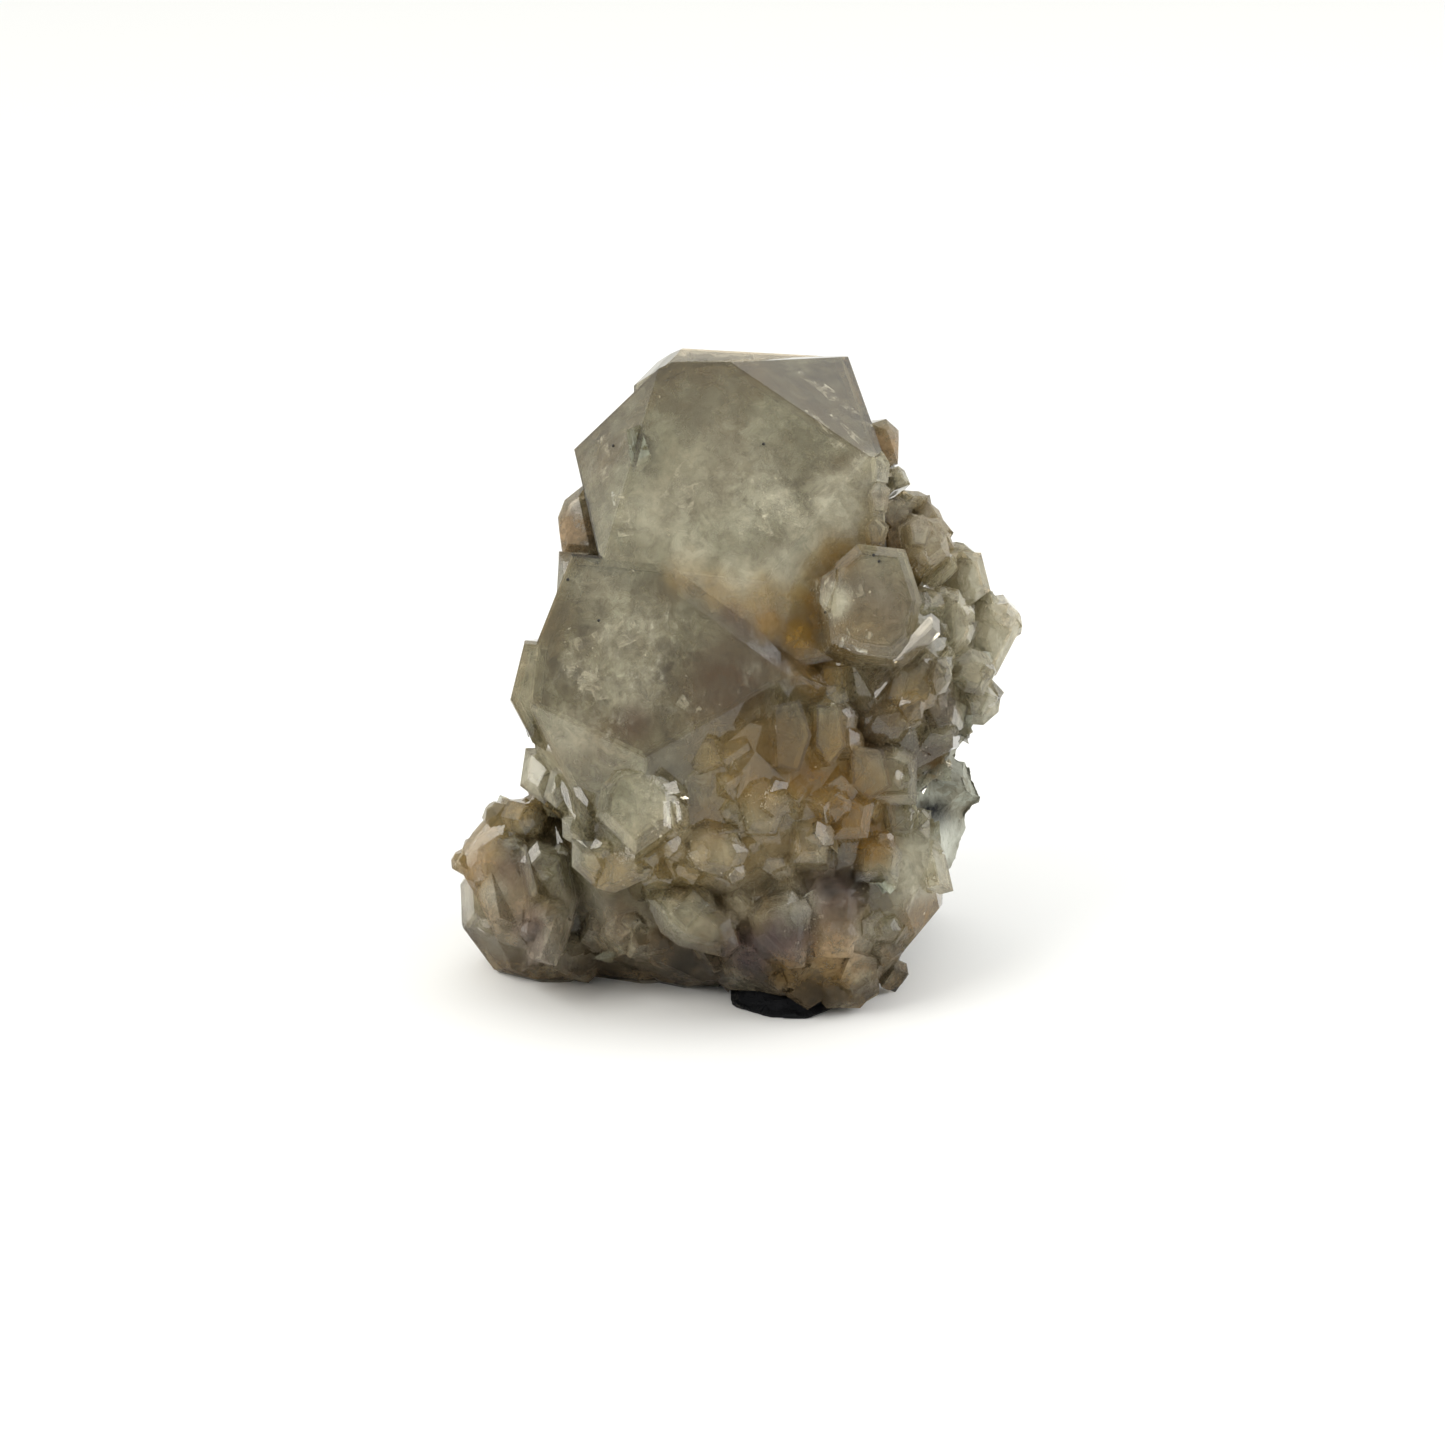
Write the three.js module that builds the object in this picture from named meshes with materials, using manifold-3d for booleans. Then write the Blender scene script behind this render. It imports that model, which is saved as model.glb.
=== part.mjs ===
// A citrine cluster: two big cloudy quartz crystals on a crust of small ones, grown on a lump of host rock.
// Millimetres, +Z up, +X right and -Y to the front. The flat underside lies on Z = 0.
//
// Shapes on the front are set out as the eye sees them: so far to the right, so far up and so near.
// The eye stands in front, looks down by VIEW_TILT and is EYE_DISTANCE away.

import * as THREE from 'three';
import { ConvexGeometry } from 'three/addons/geometries/ConvexGeometry.js';
import { mergeVertices } from 'three/addons/utils/BufferGeometryUtils.js';
import Module from 'manifold-3d';

const wasm = await Module();
wasm.setup();

const DEG = Math.PI / 180;
const VIEW_TILT = 20 * DEG;
const EYE_DISTANCE = 441;
const VIEW_RIGHT = -1.4;
const VIEW_UP = 26.8;

const RIGHT = new THREE.Vector3(1, 0, 0);
const UP = new THREE.Vector3(0, Math.sin(VIEW_TILT), Math.cos(VIEW_TILT));
const NEAR = new THREE.Vector3(0, -Math.cos(VIEW_TILT), Math.sin(VIEW_TILT));

// Quartz: a tip face leans this far from the crystal's long axis, so its normal is RHOMB_TILT off the axis.
const RHOMB_TILT = 51.79 * DEG;
// A gap between rock and quartz keeps the two solids from sharing a surface.
const ROCK_GAP = 0.3;

// A repeatable stream of numbers from 0 to 1.
function randomStream(seed) {
  let state = seed >>> 0;
  return () => {
    state = (state + 0x6d2b79f5) >>> 0;
    let mixed = Math.imul(state ^ (state >>> 15), 1 | state);
    mixed = (mixed + Math.imul(mixed ^ (mixed >>> 7), 61 | mixed)) ^ mixed;
    return ((mixed ^ (mixed >>> 14)) >>> 0) / 4294967296;
  };
}

// A direction as the eye sees it.
function seenDirection(right, up, near) {
  return new THREE.Vector3()
    .addScaledVector(RIGHT, right)
    .addScaledVector(UP, up)
    .addScaledVector(NEAR, near)
    .normalize();
}

// The point that looks to be at (right, up), and is near by so much.
function seenPoint(right, up, near) {
  const shrink = 1 - near / EYE_DISTANCE;
  return new THREE.Vector3()
    .addScaledVector(RIGHT, VIEW_RIGHT + (right - VIEW_RIGHT) * shrink)
    .addScaledVector(UP, VIEW_UP + (up - VIEW_UP) * shrink)
    .addScaledVector(NEAR, near);
}

// The line of sight through (right, up).
function sightLine(right, up) {
  const eye = seenPoint(right, up, 200);
  const towards = seenPoint(right, up, 0).sub(eye).normalize();
  return new THREE.Ray(eye, towards);
}

// How far a surface reaches towards the eye at (right, up). Null where the line of sight misses it.
function nearOf(mesh, right, up) {
  const { origin, direction } = sightLine(right, up);
  const hits = new THREE.Raycaster(origin, direction).intersectObject(mesh);
  return hits.length ? 200 - hits[0].distance : null;
}

// A face is a plane whose normal points out of the crystal.
function faceThrough(point, normal) {
  return new THREE.Plane().setFromNormalAndCoplanarPoint(normal, point);
}

// Where the eye sees (right, up) on a face.
function onFace(face, [right, up]) {
  const { origin, direction } = sightLine(right, up);
  const along = -face.distanceToPoint(origin) / face.normal.dot(direction);
  return origin.clone().addScaledVector(direction, along);
}

// A new face folded back about an edge of a known one. Edges run anticlockwise round the known face.
function foldedFace(face, start, end, fold) {
  const from = onFace(face, start);
  const edge = onFace(face, end).sub(from).normalize();
  const outward = new THREE.Vector3().crossVectors(edge, face.normal);
  const normal = face.normal.clone().multiplyScalar(Math.cos(fold * DEG));
  return faceThrough(from, normal.addScaledVector(outward, Math.sin(fold * DEG)));
}

// The same face on the far side of the crystal, so far behind.
function oppositeFace(face, apart) {
  const point = face.normal.clone().multiplyScalar(-face.constant - apart);
  return faceThrough(point, face.normal.clone().negate());
}

// Where three faces meet, or null where they run along one another.
function meetingPoint(one, two, three) {
  const acrossTwoThree = new THREE.Vector3().crossVectors(two.normal, three.normal);
  const volume = one.normal.dot(acrossTwoThree);
  if (Math.abs(volume) < 1e-6) return null;
  return acrossTwoThree
    .multiplyScalar(-one.constant)
    .addScaledVector(new THREE.Vector3().crossVectors(three.normal, one.normal), -two.constant)
    .addScaledVector(new THREE.Vector3().crossVectors(one.normal, two.normal), -three.constant)
    .divideScalar(volume);
}

// The convex solid inside every face of a list, as a Manifold.
function solidInside(faces) {
  const corners = [];
  for (let i = 0; i < faces.length; i++) {
    for (let j = i + 1; j < faces.length; j++) {
      for (let k = j + 1; k < faces.length; k++) {
        const point = meetingPoint(faces[i], faces[j], faces[k]);
        if (!point || faces.some((face) => face.distanceToPoint(point) > 1e-6)) continue;
        if (!corners.some((corner) => corner.distanceTo(point) < 0.02)) corners.push(point);
      }
    }
  }
  const hull = mergeVertices(new ConvexGeometry(corners).deleteAttribute('normal'), 1e-4);
  const vertProperties = new Float32Array(hull.attributes.position.array);
  const triVerts = new Uint32Array(hull.index.array);
  return new wasm.Manifold(new wasm.Mesh({ numProp: 3, vertProperties, triVerts }));
}

// A six-sided quartz crystal with its six tip faces. Three of those are bigger, as on most quartz.
// width is across the flats, length from the root to the tip, turn about the axis in degrees.
function crystalFaces({ tip, axis, width, length, turn, tipFaces = 6 }) {
  const helper = Math.abs(axis.z) < 0.9 ? new THREE.Vector3(0, 0, 1) : new THREE.Vector3(1, 0, 0);
  const sideways = new THREE.Vector3().crossVectors(helper, axis).normalize();
  const first = sideways.applyAxisAngle(axis, turn * DEG);
  const faces = [faceThrough(tip.clone().addScaledVector(axis, -length), axis.clone().negate())];
  for (let side = 0; side < 6; side++) {
    const out = first.clone().applyAxisAngle(axis, side * 60 * DEG);
    faces.push(faceThrough(tip.clone().addScaledVector(out, width / 2), out));
    if (tipFaces === 3 && side % 2 === 1) continue;
    const slope = out.clone().multiplyScalar(Math.sin(RHOMB_TILT));
    slope.addScaledVector(axis, Math.cos(RHOMB_TILT));
    const setBack = side % 2 === 0 ? 0 : 0.07 * width;
    faces.push(faceThrough(tip.clone().addScaledVector(slope, setBack), slope));
  }
  return faces;
}

// A rough lump: faces all round a middle at uneven distances.
function lumpFaces({ middle, reach, count, seed, uneven = 0.12 }) {
  const random = randomStream(seed);
  const golden = Math.PI * (3 - Math.sqrt(5));
  const faces = [];
  for (let n = 0; n < count; n++) {
    const height = 1 - (2 * (n + 0.5)) / count;
    const around = golden * n + seed;
    const ring = Math.sqrt(1 - height * height);
    const unit = new THREE.Vector3(Math.cos(around) * ring, Math.sin(around) * ring, height);
    const point = unit.clone().multiply(reach).multiplyScalar(1 + uneven * (random() - 0.5)).add(middle);
    const normal = unit.clone().divide(reach).normalize();
    faces.push(faceThrough(point, normal));
  }
  return faces;
}

const joined = (solids) => solids.reduce((whole, solid) => whole.add(solid));

const at = (x, y, z) => new THREE.Vector3(x, y, z);

// A plane through three points, facing the eye.
function faceThroughPoints(a, b, c) {
  const face = new THREE.Plane().setFromCoplanarPoints(a, b, c);
  return face.normal.dot(NEAR) < 0 ? face.negate() : face;
}

// The big crystal on top. Its middle face is set first, and the others are folded back from its edges.
function topCrystal() {
  const middle = faceThrough(seenPoint(0, 53.5, 21.5), seenDirection(-0.04, 0.27, 0.96));
  const tipLeft = [-8.2, 66.4];
  const tipRight = [-0.5, 66.4];
  const leftFoot = [-14.2, 46];
  const rightCorner = [14.7, 56.1];
  const rightFoot = [3.4, 42.3];
  const left = foldedFace(middle, tipLeft, leftFoot, 46);
  const upperRight = foldedFace(middle, rightCorner, tipRight, 46);
  const lowerRight = foldedFace(middle, rightFoot, rightCorner, 38);
  const foot = foldedFace(middle, [-12, 44.2], rightFoot, 30);
  const top = faceThroughPoints(
    onFace(middle, tipLeft), onFace(middle, tipRight), onFace(upperRight, [12.4, 67]));
  const behindTop = foldedFace(top, [12.4, 67.1], [-5.9, 68.1], 48);
  return [
    middle, left, upperRight, lowerRight, foot, top, behindTop,
    foldedFace(left, [-5.9, 68.1], [-17.7, 56.8], 70),
    foldedFace(left, [-17.7, 56.8], [-14.9, 44.7], 76),
    foldedFace(upperRight, [18, 51.3], [12.4, 67], 70),
    oppositeFace(middle, 27),
    oppositeFace(lowerRight, 36),
    oppositeFace(upperRight, 29),
    faceThrough(seenPoint(8, 33, 20), seenDirection(0.25, -1, 0.1)),
  ];
}

// The big crystal at the lower left, with two tip faces above and two sides below that meet in a V.
function lowerLeftCrystal() {
  const upperLeft = faceThrough(seenPoint(-14.9, 33.7, 25.5), seenDirection(-0.1, 0.2, 0.97));
  const meeting = [-10, 22.8];
  const crest = [-4.9, 41.4];
  const upperRight = foldedFace(upperLeft, meeting, crest, 16);
  const lowerLeft = foldedFace(upperLeft, [-22.6, 28.9], meeting, 42);
  const lowerRight = foldedFace(upperRight, meeting, [6.8, 32.4], 36);
  return [
    upperLeft, upperRight, lowerLeft, lowerRight,
    foldedFace(upperRight, [0.5, 35.9], [-11.4, 44.6], 24),
    foldedFace(upperLeft, [-14.8, 45.1], [-17.9, 45.4], 84),
    foldedFace(upperLeft, [-17.9, 45.4], [-21.8, 35.6], 88),
    foldedFace(upperLeft, [-21.8, 35.6], [-22.6, 28.6], 86),
    foldedFace(lowerLeft, [-22.6, 28.6], [-19.4, 22.1], 46),
    foldedFace(upperRight, [8, 31], [3, 36], 56),
    faceThrough(seenPoint(-10, 14, 20), seenDirection(0, -1, 0.1)),
    oppositeFace(upperLeft, 22),
    oppositeFace(upperRight, 25),
  ];
}

// The long side of a crystal, behind one edge of its outline.
function wallFace(face, start, end) {
  return foldedFace(face, start, end, 84);
}

// A tip face, which starts rim inside that edge.
function tipFace(face, start, end, fold, rim) {
  const tip = foldedFace(face, start, end, fold);
  return new THREE.Plane(tip.normal, tip.constant + rim * Math.sin(fold * DEG));
}

// A crystal set out by its outline as the eye sees it, anticlockwise. Its tip faces slope from a flat front
// down to that outline, and its long sides run back from there.
function seenCrystal({ ring, lean, near, fold = 42, rim = 1, deep = 8 }) {
  const middleRight = ring.reduce((sum, [right]) => sum + right, 0) / ring.length;
  const middleUp = ring.reduce((sum, [, up]) => sum + up, 0) / ring.length;
  const front = faceThrough(seenPoint(middleRight, middleUp, near), seenDirection(...lean));
  const folds = Array.isArray(fold) ? fold : ring.map(() => fold);
  const next = (n) => ring[(n + 1) % ring.length];
  const tips = ring.map((corner, n) => tipFace(front, corner, next(n), folds[n], rim));
  const walls = ring.map((corner, n) => wallFace(front, corner, next(n)));
  return [front, ...tips, ...walls, oppositeFace(front, deep)];
}

const seenCrystals = [
  // Grown on behind the top crystal, with a thin edge that shows above it.
  {
    ring: [[-8.2, 58], [10, 58], [12.3, 67.1], [-5.9, 68.1], [-8.2, 65.8]],
    lean: [0.4, 0.3, 0.87], near: 8.5, fold: 80, rim: 0.2, deep: 6,
  },
  // Beside the top crystal on the left.
  {
    ring: [[-14.8, 45.1], [-16.6, 53.3], [-19, 51.4], [-19.7, 49.5], [-19.2, 45.5]],
    lean: [-0.3, 0.15, 0.94], near: 13,
  },
  { ring: [[-16.6, 45.4], [-19.7, 45.6], [-20, 40.8], [-18.6, 41.2]], lean: [-0.4, 0.1, 0.9], near: 16 },
  // Joined to the lower left crystal on its left.
  {
    ring: [[-22, 27], [-21, 35.6], [-23.4, 35.8], [-25, 29.3], [-22.6, 24.8]],
    lean: [-0.4, 0.05, 0.9], near: 23.5, fold: [60, 60, 60, 60, 48], rim: 0.3,
  },
  // The round crystal on the right.
  {
    ring: [[17.5, 34], [19.5, 35.9], [20.5, 40.3], [18.7, 45.9], [13.6, 46.5], [11.3, 44.5],
      [10.2, 41.4], [10.7, 35.9], [13.5, 34.6]],
    lean: [0.04, 0.12, 0.97], near: 26, fold: [38, 42, 50, 46, 42, 44, 46, 48, 44], deep: 16,
  },
  // Down the right flank.
  {
    ring: [[16.9, 55.5], [18.3, 55.5], [18.4, 59], [17.1, 60.2], [15.5, 59.7]],
    lean: [0.5, 0.1, 0.86], near: 12,
  },
  {
    ring: [[18, 52.7], [19.6, 53.3], [19, 54.7], [18.4, 55.1], [17.7, 54.6]],
    lean: [0.4, 0.2, 0.86], near: 12,
  },
  {
    ring: [[18.7, 50.4], [21.1, 51.3], [21.4, 52], [20.4, 52.5], [18.8, 52.6]],
    lean: [0.2, 0.3, 0.86], near: 13,
  },
  {
    ring: [[21.3, 43.6], [23.8, 45.6], [23.1, 49.1], [20, 49.9], [19.5, 46.6], [19.9, 44.5]],
    lean: [0.15, 0.15, 0.97], near: 17, fold: [38, 56, 60, 40, 44, 44],
  },
  {
    ring: [[23.6, 46.3], [24.5, 46.3], [22.8, 50.3], [21.6, 51.3], [21.3, 49.6]],
    lean: [0.4, 0.2, 0.86], near: 14,
  },
  {
    ring: [[26.7, 40.3], [28.3, 41.5], [27.3, 45.5], [25.4, 45.6], [24.6, 43], [25.2, 40.8]],
    lean: [0.3, 0.1, 0.95], near: 10,
  },
  {
    ring: [[29, 32.1], [31.2, 36.3], [31.5, 37.5], [30.5, 38.8], [28.3, 41.3], [27.4, 39.2],
      [26.7, 35.9], [27.5, 33.1]],
    lean: [0.3, -0.05, 0.93], near: 7, deep: 5,
  },
  {
    ring: [[23.6, 33.5], [26.2, 35.6], [26.7, 37], [25.7, 39.9], [25, 41.3], [23.8, 40.7], [23.1, 37.9]],
    lean: [0.4, 0, 0.9], near: 14.5,
  },
  {
    ring: [[23.4, 31.6], [25.4, 30.3], [27.4, 29.7], [28.8, 32.5], [27.9, 34.2], [26.2, 34.8],
      [24.2, 33.9]],
    lean: [0.2, -0.05, 0.98], near: 14.5,
  },
  {
    ring: [[25, 26.6], [27.5, 26.4], [29.1, 27.8], [29.3, 29.1], [27.4, 29.8], [24.8, 30.4]],
    lean: [0.2, -0.2, 0.95], near: 11.5,
  },
  { ring: [[28.7, 28], [30, 30.1], [28.7, 31.5], [27.9, 30.4]], lean: [0.5, 0, 0.86], near: 9 },
  {
    ring: [[18.5, 27.1], [22, 28.6], [23.2, 32.6], [20.9, 35], [18.1, 32.8], [17.1, 29.3]],
    lean: [0.15, -0.1, 0.97], near: 21,
  },
  // The middle and the lower front.
  {
    ring: [[13, 17.6], [15.9, 17.7], [20, 17.6], [20, 22.9], [17.6, 24], [13.5, 23.8], [12.4, 20.5]],
    lean: [0.1, -0.05, 0.99], near: 20.5,
  },
  {
    ring: [[8.6, 22.7], [12.7, 23], [13.5, 27.6], [11.1, 30.4], [8.5, 28.4]],
    lean: [0.05, 0.05, 0.99], near: 22.5,
  },
  {
    ring: [[1.3, 14.8], [4.4, 14.8], [5.5, 17.4], [5.1, 20.3], [3.3, 21.6], [1.1, 20.7], [0.3, 18.1]],
    lean: [0, 0.1, 0.99], near: 25,
  },
  { ring: [[-2.1, 18.6], [-0.4, 18.2], [0.4, 21], [-2.6, 21.5]], lean: [-0.2, -0.1, 0.97], near: 25.5 },
  {
    ring: [[-11.1, 12.4], [-6.2, 15.9], [-6.8, 19.8], [-10.1, 22.5], [-13.2, 21.8], [-14.7, 19.9],
      [-15.3, 16.6]],
    lean: [-0.05, 0.1, 0.99], near: 27.5, fold: [36, 34, 46, 50, 44, 36, 40], deep: 14,
  },
  {
    ring: [[-21.3, 18.7], [-20, 17.6], [-18.6, 19.4], [-19.2, 22], [-20.5, 21.6]],
    lean: [-0.3, 0.1, 0.95], near: 21,
  },
  {
    ring: [[-18.6, 16.6], [-16.5, 14.3], [-14.8, 16.3], [-15.9, 19.2], [-18.1, 21.8], [-19.1, 21]],
    lean: [-0.2, 0, 0.98], near: 23, fold: [60, 60, 50, 50, 60, 60],
  },
  {
    ring: [[-19.1, 14.1], [-16.7, 12.6], [-15.7, 14.6], [-17.9, 16.6], [-19.2, 16.1]],
    lean: [-0.2, -0.1, 0.97], near: 22,
  },
  {
    ring: [[-18.1, 10.8], [-15.4, 8.4], [-13.5, 10.8], [-14.8, 13.2], [-18.1, 13.7]],
    lean: [-0.2, -0.2, 0.96], near: 22.5,
  },
  {
    ring: [[-15.2, 8.4], [-10.4, 7.2], [-9.3, 9.7], [-5.2, 11.5], [-5.6, 14.1], [-9.9, 13],
      [-14.2, 12.6]],
    lean: [-0.05, -0.2, 0.98], near: 23.5,
  },
  {
    ring: [[-3.9, 10.6], [0, 9.7], [1.4, 12.6], [0, 14.8], [-3.2, 15.9], [-5.3, 14.6], [-5.4, 12.1]],
    lean: [0, 0, 1], near: 25, fold: 42,
  },
  {
    ring: [[-6.3, 2.3], [-1.6, 1.1], [0.1, 2.3], [-0.8, 5.1], [-5.2, 8.2], [-8.8, 8.9], [-9.9, 7.3],
      [-8.2, 3.7]],
    lean: [-0.1, -0.05, 0.99], near: 20.5, fold: 44,
  },
  {
    ring: [[2.3, 3.1], [5.9, -0.3], [7.5, -0.1], [8.1, 5.1], [6.2, 8.1], [3.2, 7.3], [1.4, 5.8]],
    lean: [0, -0.1, 0.99], near: 20.5, fold: 46,
  },
  {
    ring: [[1.1, 0.1], [4.2, -2.2], [5.8, -0.5], [1.9, 3.2], [-0.1, 2.8]],
    lean: [-0.2, -0.45, 0.87], near: 17,
  },
  {
    ring: [[9.1, 1.1], [12.9, 1], [13.3, 4.4], [13.5, 9.4], [9.3, 9.6], [8, 7.3]],
    lean: [0.1, -0.05, 0.99], near: 19.5,
  },
  {
    ring: [[6.4, 11.6], [10, 11.5], [10.3, 14.8], [8.8, 16.5], [6.2, 16.1]],
    lean: [0, 0.1, 0.99], near: 24,
  },
  {
    ring: [[10.7, 14.1], [14.6, 14.3], [15.3, 18.1], [12.9, 19.6], [10.7, 18.3]],
    lean: [0.1, 0.1, 0.98], near: 22,
  },
  {
    ring: [[13.5, 9.5], [17.9, 9.2], [18.5, 12.6], [16.5, 14.4], [14, 14.1]],
    lean: [0.15, 0.05, 0.98], near: 20,
  },
  {
    ring: [[19.6, 8], [22.2, 8.1], [22.9, 10.6], [22.6, 12.6], [21.4, 13.3], [18.7, 11.9]],
    lean: [0.3, 0, 0.95], near: 15,
  },
  {
    ring: [[15.8, 0.9], [18, 1.6], [20.8, 5.8], [16.6, 4.9], [15.5, 3.1]],
    lean: [0.3, -0.1, 0.95], near: 15,
  },
  {
    ring: [[15.6, -2.8], [16.1, -1.4], [17.7, 0.1], [17.4, 1.8], [15.5, 1.2], [14.6, -1]],
    lean: [0.3, -0.1, 0.95], near: 14,
  },
  {
    ring: [[10.2, -4.8], [13.8, -4.8], [15.8, -2.7], [15.1, 0.1], [11.8, 0.7], [8.8, -0.4], [8.5, -2.8]],
    lean: [0.1, -0.3, 0.93], near: 14.5,
  },
  // The left mass.
  {
    ring: [[-26.2, 2.9], [-22.6, 1.8], [-22.1, 8.9], [-24.1, 13.2], [-26.5, 14.1], [-28.4, 12.8],
      [-28.4, 7.5]],
    lean: [-0.15, 0.02, 0.99], near: 13.5, fold: 40,
  },
  {
    ring: [[-22.3, 0.5], [-19, 1.6], [-17.3, 7.3], [-18.6, 12.6], [-21.7, 13.7], [-23.6, 11.5]],
    lean: [0.1, 0.05, 0.99], near: 14.5, fold: 34,
  },
  {
    ring: [[-21.3, 1], [-19.2, 4.6], [-20.4, 7.1], [-22, 4.2]],
    lean: [0, -0.1, 0.99], near: 15.5, fold: 40,
  },
  {
    ring: [[-24.5, 15.2], [-22.4, 14.9], [-21.9, 17.6], [-23.3, 18.6], [-25.1, 17.2]],
    lean: [-0.2, 0.2, 0.96], near: 13,
  },
  {
    ring: [[-28.5, 7.8], [-25.9, 9.5], [-23.6, 18.3], [-25.9, 18.7], [-29.1, 15], [-31.1, 11.9]],
    lean: [-0.3, 0.3, 0.9], near: 9.5,
  },
  {
    ring: [[-21.3, 18.1], [-19.6, 22], [-21.7, 24.1], [-23.3, 24.1], [-23.9, 20.1]],
    lean: [-0.3, 0.2, 0.93], near: 16,
  },
];

// The grown-together mass that every crystal stands on.
const coreLumps = [
  { middle: at(0, 2, 12), reach: at(22, 14, 13), count: 30, seed: 3 },
  { middle: at(-2, -6, 23), reach: at(16, 11, 12), count: 30, seed: 5 },
  { middle: at(7, -5, 9), reach: at(12, 10.5, 11), count: 30, seed: 7 },
  { middle: at(-20, 1.5, 8), reach: at(9.5, 8, 10), count: 36, seed: 9 },
  { middle: at(-9, 0.5, 6), reach: at(10, 6.5, 9), count: 36, seed: 10 },
  { middle: at(14, 0, 31), reach: at(9.5, 8, 14), count: 30, seed: 11 },
  { middle: at(1, 9, 45), reach: at(13, 10, 14), count: 24, seed: 13 },
  { middle: at(13, -2, 14), reach: at(9.5, 11.5, 13), count: 30, seed: 15 },
];

// The outline of the whole cluster as the eye sees it, which no added crystal may cross.
const outline = [
  [5.3, -5.5], [11.5, -5.5], [13.8, -4.7], [15.7, -2.7], [17.7, 0.1], [18, 1.6], [20.8, 5.8],
  [22.5, 11.7], [26.4, 18.3], [27.4, 24.9], [29.9, 30], [29.1, 32.5], [31.4, 37], [28.3, 41.4],
  [27.3, 45.5], [24.5, 46.3], [22.8, 50.3], [20.4, 52.5], [18.4, 55.5], [18.5, 58.3], [16.5, 60.3],
  [12.4, 67], [-5.9, 68.1], [-17.7, 56.8], [-17, 53.5], [-20.5, 49], [-20, 40.8], [-21.8, 35.7],
  [-23.5, 35.8], [-25, 29.4], [-21.7, 24.3], [-23.4, 24.1], [-23.8, 20.2], [-26.5, 18.4], [-31.2, 12],
  [-28.5, 7.8], [-28.3, 5.2], [-26.7, 2.9], [-21.9, -0.6], [-10.5, -1.1], [-3.9, -3.3], [0.3, -3.9],
];

// The host rock: a slab under and behind the quartz, with a wing that shows on the right and a toe at
// the front.
const rockLumps = [
  { middle: at(3, 13, 17), reach: at(18, 8, 17), count: 30, seed: 21, uneven: 0.3 },
  { middle: at(18.5, 2, 19), reach: at(6.5, 8, 11), count: 26, seed: 23, uneven: 0.3 },
  { middle: at(4, 5, 1), reach: at(15, 11, 6), count: 24, seed: 25, uneven: 0.2 },
  { middle: at(5.5, -8.5, 0), reach: at(6, 5.5, 4), count: 24, seed: 27, uneven: 0.2 },
];

// Blocks that stand out of the rock's broken back: middle and size.
const rockBlocks = [
  [at(-9, 16, 9), 8], [at(2, 18, 6), 8.5], [at(13, 15, 8), 8], [at(-6, 17, 20), 8.5], [at(6, 18, 17), 9],
  [at(16, 13, 20), 7.5], [at(1, 16, 29), 8], [at(18.5, 5, 11), 5], [at(20.5, 0, 21), 5], [at(20, 8, 26), 5.5],
];

// Everything above the flat underside.
const aboveGround = solidInside([
  faceThrough(at(0, 0, 0), at(0, 0, -1)), faceThrough(at(0, 0, 120), at(0, 0, 1)),
  faceThrough(at(-80, 0, 0), at(-1, 0, 0)), faceThrough(at(80, 0, 0), at(1, 0, 0)),
  faceThrough(at(0, -80, 0), at(0, -1, 0)), faceThrough(at(0, 80, 0), at(0, 1, 0)),
]);

const widened = (faces, by) => faces.map((face) => new THREE.Plane(face.normal, face.constant - by));

function meshOf(solid, material) {
  const { vertProperties, triVerts } = solid.getMesh();
  const geometry = new THREE.BufferGeometry();
  geometry.setAttribute('position', new THREE.BufferAttribute(vertProperties, 3));
  geometry.setIndex(new THREE.BufferAttribute(triVerts, 1));
  return new THREE.Mesh(geometry, material);
}

// The mesh of a solid's biggest piece: a cut can leave a loose crumb or a sealed bubble, which is dropped.
function biggestPiece(solid, material) {
  const { vertProperties, triVerts } = solid.getMesh();
  const parent = Array.from({ length: vertProperties.length / 3 }, (_, n) => n);
  const rootOf = (n) => {
    while (parent[n] !== n) n = parent[n] = parent[parent[n]];
    return n;
  };
  for (let n = 0; n < triVerts.length; n += 3) {
    parent[rootOf(triVerts[n])] = rootOf(triVerts[n + 1]);
    parent[rootOf(triVerts[n + 1])] = rootOf(triVerts[n + 2]);
  }
  const corner = (n) => new THREE.Vector3().fromArray(vertProperties, 3 * n);
  const volumes = new Map();
  for (let n = 0; n < triVerts.length; n += 3) {
    const [a, b, c] = [0, 1, 2].map((k) => corner(triVerts[n + k]));
    const root = rootOf(triVerts[n]);
    volumes.set(root, (volumes.get(root) ?? 0) + a.dot(b.cross(c)) / 6);
  }
  const biggest = [...volumes].sort((one, other) => other[1] - one[1])[0][0];
  const kept = [];
  for (let n = 0; n < triVerts.length; n += 3) {
    if (rootOf(triVerts[n]) === biggest) kept.push(triVerts[n], triVerts[n + 1], triVerts[n + 2]);
  }
  const geometry = new THREE.BufferGeometry();
  geometry.setAttribute('position', new THREE.BufferAttribute(vertProperties, 3));
  geometry.setIndex(kept);
  return new THREE.Mesh(geometry, material);
}

const core = joined(coreLumps.map((lump) => solidInside(lumpFaces(lump))));
const coreMesh = meshOf(core, new THREE.MeshBasicMaterial());
coreMesh.updateMatrixWorld(true);

// Where the eye sees a point: how far right and how far up.
function seenFrom(point) {
  const near = point.dot(NEAR);
  const shrink = 1 - near / EYE_DISTANCE;
  return [
    VIEW_RIGHT + (point.dot(RIGHT) - VIEW_RIGHT) / shrink,
    VIEW_UP + (point.dot(UP) - VIEW_UP) / shrink,
  ];
}

// Whether a seen point lies inside the outline.
function insideOutline([right, up]) {
  let inside = false;
  outline.forEach(([rightA, upA], n) => {
    const [rightB, upB] = outline[(n + 1) % outline.length];
    if (upA > up === upB > up) return;
    if (right < rightA + ((rightB - rightA) * (up - upA)) / (upB - upA)) inside = !inside;
  });
  return inside;
}

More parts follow.
